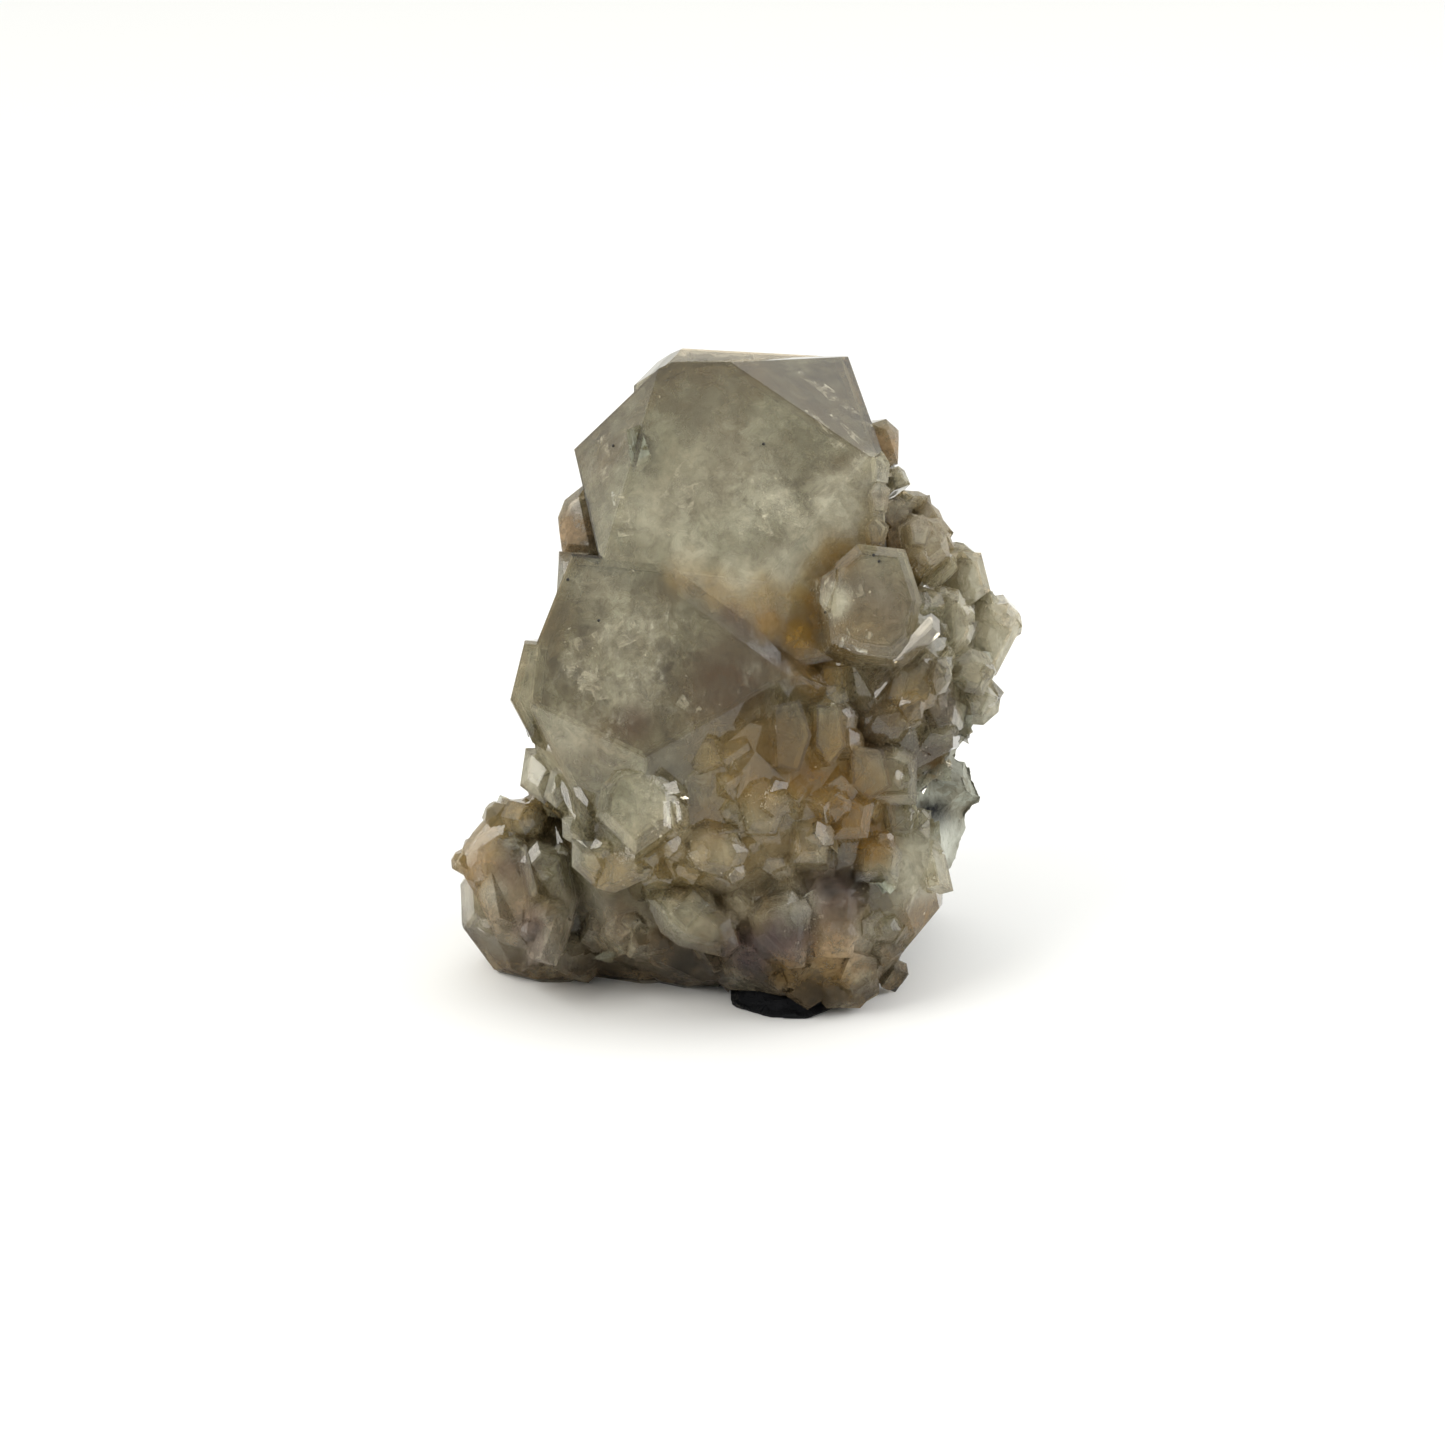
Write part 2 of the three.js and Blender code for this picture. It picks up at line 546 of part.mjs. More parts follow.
// Whether a whole ball about a point is seen inside the outline.
function ballInside(point, radius) {
  return [0, 60, 120, 180, 240, 300].every((turn) => {
    const edge = point.clone().addScaledVector(RIGHT, radius * Math.cos(turn * DEG));
    return insideOutline(seenFrom(edge.addScaledVector(UP, radius * Math.sin(turn * DEG))));
  });
}

// Small crystals between the others on the front, in rows a step apart.
function frontFill(bigOnes) {
  const random = randomStream(17);
  const step = 4.7;
  const solids = [];
  for (let up = -3; up < 56; up += step) {
    for (let right = -30; right < 31; right += step) {
      const seen = [right + step * (random() - 0.5), up + step * (random() - 0.5)];
      const ground = nearOf(coreMesh, ...seen);
      if (ground === null || (nearOf(bigOnes, ...seen) ?? -99) > ground + 1) continue;
      const width = 3.4 + 1.8 * random();
      const axis = seenDirection(1.1 * (random() - 0.5), 1.1 * (random() - 0.4), 1);
      const tip = seenPoint(...seen, ground).addScaledVector(axis, 1.2 + 1.4 * random());
      if (!ballInside(tip.clone().addScaledVector(axis, -0.5 * width), width / 2)) continue;
      const turn = 120 * random();
      solids.push(solidInside(crystalFaces({ tip, axis, width, length: 7, turn, tipFaces: 3 })));
    }
  }
  return solids;
}

// Small crystals over the sides, the back and the top of the mass, where the photo doesn't show it.
function hiddenCrust() {
  const random = randomStream(41);
  const centre = at(0, 3, 26);
  const tries = 165;
  const solids = [];
  for (let n = 0; n < tries; n++) {
    const height = 0.98 - (1.5 * (n + random())) / tries;
    const around = n * Math.PI * (3 - Math.sqrt(5)) + 0.4 * random();
    const ring = Math.sqrt(Math.max(0, 1 - height * height));
    const out = at(Math.cos(around) * ring, Math.sin(around) * ring, height);
    if (out.dot(NEAR) > 0.15) continue;
    const origin = centre.clone().addScaledVector(out, 90);
    const hit = new THREE.Raycaster(origin, out.clone().negate()).intersectObject(coreMesh)[0];
    if (!hit || hit.point.z < 3) continue;
    const width = 4.5 + 4 * random();
    const axis = hit.face.normal.clone();
    axis.add(at(random() - 0.5, random() - 0.5, random() - 0.2).multiplyScalar(0.9));
    axis.normalize();
    const tip = hit.point.clone().addScaledVector(axis, width * (0.4 + 0.4 * random()));
    const heart = tip.clone().addScaledVector(axis, -0.6 * width);
    if (!ballInside(tip, 0.4) || !ballInside(heart, width / 2)) continue;
    const tipFaces = random() < 0.4 ? 6 : 3;
    const turn = 60 * random();
    solids.push(solidInside(crystalFaces({ tip, axis, width, length: width * 1.8, turn, tipFaces })));
  }
  return solids;
}

const blockFaces = ([middle, size], n) =>
  lumpFaces({ middle, reach: at(size, size * 0.7, size * 0.8), count: 11, seed: 60 + n, uneven: 0.35 });
const rockFaces = [...rockLumps.map(lumpFaces), ...rockBlocks.map(blockFaces)];
const rock = joined(rockFaces.map(solidInside)).intersect(aboveGround);
const room = joined(rockFaces.map((faces) => solidInside(widened(faces, ROCK_GAP))));
const bigOnes = joined([solidInside(topCrystal()), solidInside(lowerLeftCrystal())]);
const bigMesh = meshOf(bigOnes, new THREE.MeshBasicMaterial());
const named = seenCrystals.map((crystal) => solidInside(seenCrystal(crystal)));
const quartz = joined([core, bigOnes, ...named, ...frontFill(bigMesh), ...hiddenCrust()])
  .intersect(aboveGround)
  .subtract(room);

const group = new THREE.Group();
group.name = 'citrine_cluster';
const quartzMesh = biggestPiece(quartz, new THREE.MeshStandardMaterial({ color: 0x9a8f7c, roughness: 0.15 }));
quartzMesh.name = 'quartz_cluster';
const rockMesh = biggestPiece(rock, new THREE.MeshStandardMaterial({ color: 0x8c9791, roughness: 0.85 }));
rockMesh.name = 'matrix';
group.add(quartzMesh, rockMesh);

// The part's origin is the middle of its flat underside.
const box = new THREE.Box3().setFromObject(group);
const toOrigin = [-(box.min.x + box.max.x) / 2, -(box.min.y + box.max.y) / 2, -box.min.z];
for (const mesh of [quartzMesh, rockMesh]) mesh.geometry.translate(...toOrigin);

export default group;
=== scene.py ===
"""A citrine cluster: clear smoky quartz over a cloudy heart, a crust of small crystals, and host rock."""

import math

import bmesh
import bpy
import numpy as np
from mathutils import Matrix, Vector
from mathutils.bvhtree import BVHTree


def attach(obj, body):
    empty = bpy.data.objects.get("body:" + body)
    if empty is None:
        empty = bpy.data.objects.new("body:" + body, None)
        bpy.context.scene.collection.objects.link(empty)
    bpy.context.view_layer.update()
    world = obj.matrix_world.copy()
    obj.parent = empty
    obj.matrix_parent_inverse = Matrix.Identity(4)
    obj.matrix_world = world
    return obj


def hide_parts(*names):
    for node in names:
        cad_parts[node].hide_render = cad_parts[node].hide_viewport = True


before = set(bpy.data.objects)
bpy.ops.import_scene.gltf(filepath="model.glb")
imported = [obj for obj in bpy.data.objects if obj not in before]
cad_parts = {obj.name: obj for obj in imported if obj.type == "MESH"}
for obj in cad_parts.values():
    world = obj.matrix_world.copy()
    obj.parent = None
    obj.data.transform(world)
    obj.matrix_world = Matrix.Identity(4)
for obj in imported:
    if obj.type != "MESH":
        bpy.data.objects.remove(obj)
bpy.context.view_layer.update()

MM = 0.001


def colour(hex_code):
    """Linear RGBA from an sRGB hex code."""
    parts = [int(hex_code[n : n + 2], 16) / 255 for n in (1, 3, 5)]
    return (*(p / 12.92 if p <= 0.04045 else ((p + 0.055) / 1.055) ** 2.4 for p in parts), 1)


def add(tree, kind, inputs=None, **settings):
    """A new node with its settings, and its inputs set or linked. A node stands for its first output."""
    node = tree.nodes.new(kind)
    for name, value in settings.items():
        setattr(node, name, value)
    for name, value in (inputs or {}).items():
        if isinstance(value, bpy.types.Node):
            value = next(socket for socket in value.outputs if socket.enabled)
        if isinstance(value, bpy.types.NodeSocket):
            tree.links.new(value, node.inputs[name])
        else:
            node.inputs[name].default_value = value
    return node


def new_look(name):
    """A material with an empty tree, and where its surface is in the object's own coordinates."""
    material = bpy.data.materials.new(name)
    material.use_nodes = True
    tree = material.node_tree
    tree.nodes.clear()
    return material, tree, add(tree, "ShaderNodeTexCoord").outputs["Object"]


def plain_look(name, hue, roughness):
    """A material of one colour and one roughness."""
    material = bpy.data.materials.new(name)
    material.use_nodes = True
    shader = material.node_tree.nodes["Principled BSDF"]
    shader.inputs["Base Color"].default_value = colour(hue)
    shader.inputs["Roughness"].default_value = roughness
    return material


def set_ramp(ramp, steps):
    """A colour ramp's steps, each a place from 0 to 1 and a colour."""
    for place, _ in steps[1:-1]:
        ramp.elements.new(place)
    for element, (place, hue) in zip(ramp.elements, steps):
        element.position = place
        element.color = colour(hue)


def stained(tree, ground, stains):
    """The ground's colour under stains, each told by its painted attribute, its strength and its colour."""
    for stain, (strength, hue) in stains.items():
        amount = add(tree, "ShaderNodeAttribute", attribute_name=stain).outputs["Fac"]
        share = add(tree, "ShaderNodeMath", {0: amount, 1: strength}, operation="MULTIPLY", use_clamp=True)
        ground = add(tree, "ShaderNodeMix", {0: share, 6: ground, 7: colour(hue)}, data_type="RGBA")
    return ground


# The camera looks down by VIEW_TILT on the front. Places on the front are given as it sees them: so many
# millimetres to the right, up and near, as in the part's own source, whose base middle is BASE_MIDDLE.
VIEW_TILT = math.radians(20)
EYE_DISTANCE = 441 * MM
RIGHT = Vector((1, 0, 0))
UP = Vector((0, math.sin(VIEW_TILT), math.cos(VIEW_TILT)))
NEAR = Vector((0, -math.cos(VIEW_TILT), math.sin(VIEW_TILT)))
BASE_MIDDLE = Vector((0.256, 3.480, 0)) * MM
VIEW_RIGHT = -1.4 * MM
VIEW_UP = 26.8 * MM
LOOK_AT = RIGHT * VIEW_RIGHT + UP * VIEW_UP - BASE_MIDDLE
EYE = LOOK_AT + NEAR * EYE_DISTANCE


def seen_place(right, up, near):
    """The place that the camera sees so many millimetres to the right and up, and that is so near."""
    shrink = 1 - near * MM / EYE_DISTANCE
    across = VIEW_RIGHT + (right * MM - VIEW_RIGHT) * shrink
    height = VIEW_UP + (up * MM - VIEW_UP) * shrink
    return RIGHT * across + UP * height + NEAR * near * MM - BASE_MIDDLE


def placed(name, data):
    """A new object in the scene with a mesh, a lamp or a lens."""
    thing = bpy.data.objects.new(name, data)
    bpy.context.scene.collection.objects.link(thing)
    return thing


def make_camera():
    lens = bpy.data.cameras.new("camera")
    lens.lens = 100
    lens.sensor_width = 36
    lens.clip_end = 20
    camera = placed("camera", lens)
    camera.matrix_world = Matrix.Translation(EYE) @ Matrix((RIGHT, UP, NEAR)).transposed().to_4x4()
    bpy.context.scene.camera = camera


def soft_light(name, towards, distance, width, watts, tint):
    """A square soft box that faces the object from the direction towards it."""
    lamp = bpy.data.lights.new(name, "AREA")
    lamp.shape = "SQUARE"
    lamp.size = width
    lamp.energy = watts
    lamp.color = colour(tint)[:3]
    holder = placed(name, lamp)
    direction = Vector(towards).normalized()
    holder.location = Vector((0, 0, 30 * MM)) + direction * distance
    holder.rotation_euler = direction.to_track_quat("Z", "Y").to_euler()


def light_the_studio():
    """A white tent that is bright overhead and behind the object and dim in front, with two soft boxes."""
    world = bpy.data.worlds.new("studio")
    bpy.context.scene.world = world
    world.use_nodes = True
    tree = world.node_tree
    tree.nodes.clear()
    direction = add(tree, "ShaderNodeTexCoord").outputs["Generated"]
    behind = add(tree, "ShaderNodeVectorMath", {0: direction, 1: (0, 0.7, 0.7)}, operation="DOT_PRODUCT")
    strength = add(
        tree,
        "ShaderNodeMapRange",
        {"Value": behind, "From Min": -0.6, "From Max": 1.0, "To Min": 0.4, "To Max": 1.4},
    )
    background = add(tree, "ShaderNodeBackground", {"Color": colour("#f6f6f4"), "Strength": strength})
    add(tree, "ShaderNodeOutputWorld", {"Surface": background})
    soft_light("key", (-0.7, -0.5, 0.7), 0.6, 0.34, 2.0, "#fffdf8")
    soft_light("edge", (0.9, -0.05, 0.55), 0.6, 0.45, 1.6, "#f8faff")


def make_floor():
    half = 3.0
    mesh = bpy.data.meshes.new("floor")
    corners = [(-half, -half, 0), (half, -half, 0), (half, half, 0), (-half, half, 0)]
    mesh.from_pydata(corners, [], [(0, 1, 2, 3)])
    floor = placed("floor", mesh)
    mesh.materials.append(plain_look("white paper", "#f3f3f1", 0.9))


def new_tree(name, *numbers):
    """An empty Geometry Nodes tree, its inputs (a geometry and the named numbers) and its output node."""
    tree = bpy.data.node_groups.new(name, "GeometryNodeTree")
    tree.interface.new_socket(name="Geometry", in_out="INPUT", socket_type="NodeSocketGeometry")
    for number in numbers:
        kind = "NodeSocketInt" if number == "Seed" else "NodeSocketFloat"
        tree.interface.new_socket(name=number, in_out="INPUT", socket_type=kind)
    tree.interface.new_socket(name="Geometry", in_out="OUTPUT", socket_type="NodeSocketGeometry")
    return tree, tree.nodes.new("NodeGroupInput").outputs, tree.nodes.new("NodeGroupOutput")


def finish_tree(tree, outside, geometry, material):
    """Ends a tree: its instances made real, and all of it in one material."""
    plain = add(tree, "GeometryNodeRealizeInstances", {"Geometry": geometry})
    painted = add(tree, "GeometryNodeSetMaterial", {"Geometry": plain, "Material": material})
    tree.links.new(painted.outputs["Geometry"], outside.inputs["Geometry"])
    return tree


def grown(source, name, tree, sizes):
    """A plain mesh object with the result of a tree on a copy of the source mesh."""
    start = placed(name + "_start", source)
    modifier = start.modifiers.new("tree", "NODES")
    modifier.node_group = tree
    for socket in tree.interface.items_tree:
        if socket.in_out == "INPUT" and socket.name in sizes:
            modifier[socket.identifier] = sizes[socket.name]
    seen = start.evaluated_get(bpy.context.evaluated_depsgraph_get())
    mesh = bpy.data.meshes.new_from_object(seen)
    mesh.name = name
    bpy.data.objects.remove(start)
    return placed(name, mesh)


# Corners of a CAD mesh this close are one, and faces that turn less than this are one crystal face.
SAME_CORNER = 0.002 * MM
SAME_FACE = math.radians(0.6)


def merged_copy(node):
    """A copy of a CAD node's mesh with its corners joined."""
    mesh = node.data.copy()
    shape = bmesh.new()
    shape.from_mesh(mesh)
    bmesh.ops.remove_doubles(shape, verts=shape.verts, dist=SAME_CORNER)
    shape.to_mesh(mesh)
    shape.free()
    mesh.materials.clear()
    return mesh


# Where the quartz is stained or clouded, and where its foot is darkened as painted shade: right, up and
# radius in millimetres, and how much. A spot is on the surface that is seen there, unless a fifth number
# says how near it is. Streaks are pale lines of bubbles that run up the crystals, and mottle is where the
# veils are most uneven.
STAINS = {
    "smoke": (
        (-0.5, 31.5, 6, 0.75), (4.5, 34.2, 2.6, 0.8), (1.2, 36.6, 2.4, 0.7), (-0.8, 38.2, 1.8, 0.6),
        (-11.3, 27, 2.6, 0.8), (-3, 62.5, 6, 0.2), (4.5, 24, 5, 0.4), (21, 22.5, 3.5, 0.7),
        (-24, -1, 7, 0.3), (-18, 48, 4.5, 0.3), (15.5, 27, 3, 0.35), (4, 60, 8, 0.5, -6), (-14, 2, 7, 0.4),
    ),
    # Painted shade: near black over the foot of the cluster, with a few small dark spots just above it.
    "foot_shade_and_dark_spots": (
        (-4, -2.5, 7.5, 1, 14), (-14, -4, 6, 0.5, 12), (3.5, -2, 6.5, 1), (8.5, -4.5, 4.5, 1, 15),
        (-1, 1, 5, 0.6), (-9, 0.5, 5, 0.2), (10.3, 8.2, 1.6, 0.9), (6.6, 5.2, 1.5, 0.8),
        (12.9, 9.4, 1.6, 0.9), (11.6, 5.6, 1.5, 0.6), (4.2, 8.6, 1.3, 0.7),
    ),
    "violet": (
        (11, 7.5, 4.5, 0.8), (6, 3, 4.5, 0.8), (12.7, 38.5, 7.5, 0.3), (19, 30.5, 6, 0.3),
        (13.5, 25, 5, 0.35), (22.5, 28.5, 3, 0.5), (18, 38, 7, 0.6, -8), (-24, 10.5, 3, 0.6),
        (-22.5, 4.5, 2.5, 0.8), (-22, 1.5, 3, 0.5), (1, 9, 5, 0.5), (1.8, 1.6, 3.5, 0.8),
    ),
    "rose": (
        (12.7, 38, 8, 1), (19, 31, 7, 0.7), (18.5, 46.5, 6, 0.8), (22, 43, 6, 0.9), (22.5, 37.5, 5, 0.9),
        (22, 26.5, 5, 0.8), (24, 21, 4, 0.5), (16.5, 57, 4, 0.8), (24.5, 33, 5, 0.6), (13, 14, 5, 0.5),
        (-23, 9, 6, 0.5), (3.5, 14, 5, 0.5), (18, 20, 5, 0.5), (-3, 62, 7, 0.6), (8, 56, 6.5, 0.55),
        (-8.5, 58, 4, 0.45), (-9, 50, 5, 0.4), (1, 48, 5, 0.3), (-9, 33, 4, 0.3), (9.5, 25, 7, 0.5),
        (-17.5, 46.5, 3, 0.8),
    ),
    "peach": (
        (3.2, 40.4, 3.4, 0.9), (-1.5, 41.4, 2.8, 0.8), (-5.5, 43.4, 2.6, 0.6), (6.4, 40.6, 2.6, 0.8),
        (8.4, 43.6, 2.6, 0.7), (11, 46.6, 2.6, 0.7), (2, 22.5, 7, 0.7), (9, 22, 6, 0.7), (-6, 12, 6, 0.7),
        (9.5, 32.5, 3.5, 0.8), (2.5, 12, 5, 0.6), (-25, 7.5, 5, 0.35), (-29, 13.5, 5, 1),
        (-24, 17.5, 3.5, 0.8), (-13.5, 9.5, 4, 0.7), (12.7, 36, 5, 0.35), (19.5, 29, 4, 0.6),
        (19, 48, 7, 0.8), (25.5, 42, 5, 0.5), (12, 3, 5, 0.5), (-20, 48, 4, 0.5, 10), (16.4, 57, 3, 0.8),
    ),
    "iron": (
        (9, 39.5, 2.6, 0.9), (7, 36.5, 2.8, 1), (3.6, 37.6, 2.2, 0.8), (0, 38.9, 1.6, 0.6),
        (9.6, 42.8, 2, 0.6), (11.5, 44.8, 3, 0.4), (15.5, 47.5, 2.5, 0.3), (12.7, 17.2, 6, 0.8),
        (8, 20.5, 3, 0.9), (15, 13.5, 3.5, 0.8), (5.5, 12.2, 4.5, 0.5), (-3, 15.5, 3, 0.5),
        (8.8, -1, 4.5, 0.45), (8.5, 32, 3, 0.5), (5.5, -0.5, 2.5, 0.7), (4, 21, 6, 0.35),
        (11.5, 24, 5, 0.35), (1, 7.5, 4, 0.5), (-28.5, 9, 3, 0.5), (21, 6, 4, 0.7), (12, 30, 6, 0.6, -12),
        (-8, 24, 6, 0.6, -12), (-22, 20, 5, 0.5, 0),
    ),
    "milk": (
        (-17, 32.6, 2.5, 0.2), (-18, 25.6, 3, 0.35), (-8.3, 17.2, 3.5, 0.25), (-12, 36.5, 5.5, 0.25),
        (-11.5, 31, 4, 0.3), (-14.5, 41.5, 4, 0.25), (0.5, 7.5, 3.5, 0.45), (7.5, 47.5, 3, 0.4),
        (10.5, 49, 3, 0.4), (16.5, 49.5, 3, 0.6), (-18.5, 17, 3, 0.4), (-22, 14, 3.5, 0.2),
        (-26, 4, 5, 0.2), (-20, 2, 4, 0.2), (-16.5, 6, 4, 0.35), (-5, 14, 3, 0.3), (5, 10.5, 4, 0.3),
        (0.5, 43.6, 3, 0.5), (5.5, 44.2, 3, 0.5), (-5, 45.4, 3, 0.5), (-0.5, 53, 8, 0.3),
        (4.5, 51, 2.6, 0.45), (11.5, 50.8, 4.2, 0.75), (15.5, 54, 3, 1), (7, 6.5, 2.6, 0.6),
        (-8, 50, 5, 0.4), (10.8, 40, 2.2, 1), (20.5, 48.5, 4, 0.7), (17.5, 52, 4, 0.8),
        (27.5, 36.5, 6.5, 1), (25.5, 41, 4.5, 0.9), (26.5, 43, 4, 0.7), (28, 29, 3, 0.6),
        (20.5, 10.5, 4, 0.9), (14.5, 3, 2.5, 0.5), (-26.5, 8, 2, 0.6), (-22, 21.5, 3, 0.6),
        (-5, 48, 8, 0.5, -10),
    ),
    "streaks": (
        (-17, 32.6, 4, 0.6), (-12.5, 33.5, 4.5, 0.6), (-8, 37, 4, 0.7), (-14, 26, 3.5, 0.7),
        (-10.5, 32, 4, 0.7), (-5, 27.5, 3.5, 0.6), (2.5, 31, 4.5, 0.4), (-14, 55, 6, 0.5),
        (9.8, 41, 2.5, 1), (-8.3, 17.2, 4, 0.8), (7.5, 4.5, 4, 0.7), (27, 37, 5, 1), (26.5, 42, 4, 0.8),
        (20.5, 48.5, 4, 0.6), (17.5, 51.5, 3, 0.6), (3, 50.5, 4.5, 0.6), (-0.5, 20, 3, 0.5),
        (-26, 6, 4, 0.5), (20, 9, 4, 0.6),
    ),
    "mottle": (
        (-12, 31, 11, 1), (-1, 30, 9, 0.9), (4.5, 50, 6, 0.5), (12.7, 37, 8, 1), (8, 5, 8, 1),
        (0, 13, 12, 0.6), (-24, 8, 10, 0.6), (22, 32, 10, 0.6),
    ),
    "flecks": (
        (4, 52, 2.8, 1), (6.5, 50.5, 1.6, 1), (3, 49.5, 1.5, 0.8), (-7, 47.5, 1.5, 0.5), (14, 54, 2, 0.5),
        (-17, 33, 2, 0.6), (-8, 17.5, 2.5, 0.8), (12.5, 38, 4, 0.4), (3, 17.5, 1.8, 0.8),
        (-3, 12, 1.8, 0.6), (19.5, 25.5, 1.3, 0.9), (8.5, 3, 2.5, 0.5), (16, 49, 1.5, 0.7),
    ),
}
# Where a thin matt skin of iron and clay covers the crystals, and how strongly each stain shows in it and in
# which colour.
FILM = (
    (-0.5, 1.2, 6, 0.8), (-6.5, 1, 6, 0.7), (-13, 3.5, 6, 0.6), (-20, 3, 6, 0.6), (-25.5, 5, 6, 0.6),
    (-27, 10, 4, 0.5), (5.5, -0.5, 5, 0.9), (11, 0.5, 5, 0.9), (9.5, 6, 5.5, 0.5), (16, 1, 4, 0.6),
    (-17.8, 47.4, 3.2, 0.85), (16.3, 57, 3, 0.7), (16, 52.5, 2.5, 0.6), (17.6, 47, 3, 0.5),
    (20.5, 49, 3.5, 0.35), (3.6, 37, 2.2, 0.5), (6.8, 36, 2.4, 0.7), (-16.5, 5.5, 4, 0.6),
    (6, 33, 2.5, 0.5),
)
SKIN_STAINS = {
    "violet": (0.6, "#64505a"),
    "peach": (0.9, "#b89c78"),
    "iron": (0.7, "#9a7628"),
    "milk": (0.7, "#c6c5b6"),
    # Painted shade: near black at the foot, as in the veils.
    "foot_shade_and_dark_spots": (0.6, "#17130d"),
}
# Painted light and shade on whole crystal faces: how much paler or darker the quartz is drawn under a face,
# as
# a lit or a shaded face looks: right and up of a place on it, and how pale. The face is looked for from a
# place that is TONES_NEAR near.
TONES_NEAR = 60
PAINTED_FACE_LIGHT = (
    (-0.5, 54, 0.36), (-13, 57, 0.28), (13, 65, -0.08), (12, 52, 1.5), (1.5, 41, 0.9), (8, 42, 0.9),
    (-16, 35, 0.05), (-3, 33, 0), (-18, 26.5, 0.55), (-2, 26, 0.1), (2, 37, 0), (12.5, 38, 0.5),
    (17, 29.5, 0.8),
)
# A stain reaches this many millimetres farther in depth than across. It is full out to a third of its
# radius and has faded out just past it.
DEEPER = 5
FADE_FROM = 1.4
FADE_BY = 1.2


def paint(piece, stains, surface):
    """Number attributes on a piece's corners that say how much of each stain is there."""
    mesh = piece.data
    places = np.empty(len(mesh.vertices) * 3, np.float32)
    mesh.vertices.foreach_get("co", places)
    places = places.reshape(-1, 3)
    for name, spots in stains.items():
        amount = np.zeros(len(places), np.float32)
        for right, up, radius, strength, *near in spots:
            middle = seen_place(right, up, near[0]) if near else seen_on(surface, right, up)[0]
            offset = (places - np.array(middle, np.float32)) / MM
            across = offset @ np.array(RIGHT)
            height = offset @ np.array(UP)
            depth = offset @ np.array(NEAR)
            distance = np.sqrt((across**2 + height**2) / radius**2 + (depth / (radius + DEEPER)) ** 2)
            fade = np.clip(FADE_FROM - FADE_BY * distance, 0, 1)
            amount = np.maximum(amount, strength * fade * fade * (3 - 2 * fade))
        mesh.attributes.new(name, "FLOAT", "POINT").data.foreach_set("value", amount)


# Thin crystals with a bright face, that stand out of the others: the corners of each face as seen, right and
# up in millimetres. They grow side by side, so all the faces look the same way.
BLADE_FACES = (
    ((20.4, 42.3), (23.5, 45.5), (23.7, 44.4), (21.1, 41.9)),
    ((17.4, 34.3), (21.6, 38.8), (21.7, 37.2), (17.4, 33.4)),
    ((17, 32.2), (18.5, 33.8), (18.6, 33.3), (17.2, 31.8)),
    ((15.2, 30.2), (16.8, 32), (17, 31.5), (15.4, 29.4)),
    ((22.1, 33.8), (23.3, 35.4), (23.4, 34.6), (22.1, 33)),
    ((22, 30.5), (23.1, 31.3), (23.1, 30.8), (21.9, 29.7)),
    ((-8.1, 20), (-6.5, 20.4), (-6.1, 19.1), (-7.9, 18.7)),
    ((-7.9, 18.2), (-7.2, 18.2), (-7, 15.1), (-7.9, 15.5)),
    ((-6.8, 18.1), (-6.2, 18.2), (-5.9, 16.2), (-6.6, 15.6)),
    ((-19, 21), (-18.5, 19.3), (-17.2, 17.9), (-17.6, 16.1), (-18.6, 17.8), (-19.2, 19.3)),
    ((-17.7, 20.8), (-17, 19.3), (-16.1, 18.1), (-16.3, 17.5), (-17.5, 18.7), (-17.9, 19.9)),
    ((-19.8, 15.4), (-18.9, 13.6), (-18.2, 11.2), (-18.7, 11.3), (-19.5, 13)),
)
# Duller ridges, most of them low on the left, set out in the same way.
RIDGE_FACES = (
    ((9.5, 42.8), (11, 43.8), (11, 42), (9.9, 39.1), (9.2, 40)),
    ((-28, 13), (-27.2, 12.6), (-25.9, 5.4), (-26.8, 5), (-27.8, 9)),
    ((-23.9, 13.4), (-23, 13.4), (-21.7, 8), (-22.6, 7.4)),
    ((-20.4, 7.2), (-19.6, 5.6), (-21.4, 0.8), (-22.6, 1)),
    ((-25.6, 17.2), (-24.7, 17.6), (-23.6, 15), (-24.8, 14.2)),
    ((15.6, -0.9), (17.3, 0.9), (17.5, -0.2), (16.1, -2.2)),
    ((20.5, 13.4), (21.6, 13), (22.5, 9), (21, 8.6)),
)
# Small crystals beside the top one and in the middle, which look to the front and the right.
DULL_FACES = (
    ((4.4, 28.7), (7.1, 29.3), (8.4, 25.4), (7.1, 21.4), (4.7, 22)),
    ((9, 28.8), (11.6, 28.4), (12.2, 24.2), (10.5, 22), (8.9, 24.3)),
    ((12.9, 24.3), (16.3, 23.8), (17.2, 19.8), (14.9, 18.3), (12.9, 19.9)),
    ((14.6, 48.4), (15.6, 49.6), (16.9, 48.4), (16.4, 46.4), (15, 46.4)),
    ((15, 52), (15.9, 53.4), (17, 52.4), (16.6, 49.8), (15.3, 49.9)),
    ((15.3, 56), (16.2, 56.6), (17, 55.2), (16.7, 53.2), (15.6, 53.4)),
    ((16.6, 50.9), (18, 51.7), (19.4, 50.6), (19.2, 48.6), (17.6, 47.9), (16.5, 49.2)),
    ((16.8, 48), (18.4, 48.4), (19.5, 46.6), (18.6, 44.4), (16.9, 44.7)),
    ((19.3, 48.6), (20.6, 49.6), (21.6, 48.2), (21, 46.2), (19.6, 46.4)),
)
BLADE_FACING = (-0.35, 0.24, 0.91)
RIDGE_FACING = (-0.6, 0.3, 0.74)
DULL_FACING = (0.3, 0.05, 0.95)
# Black specks on the faces, as seen.
SPECKS = (
    (-13.4, 57.2), (-18.4, 42.5), (-15, 38), (15.2, 45.2), (15.8, 44.5), (9.9, 38.9), (3.1, 57.4),
    (9, 14.4),
)
# How far a healed crack leans from the face over it.
CRACK_TILT = math.radians(6)
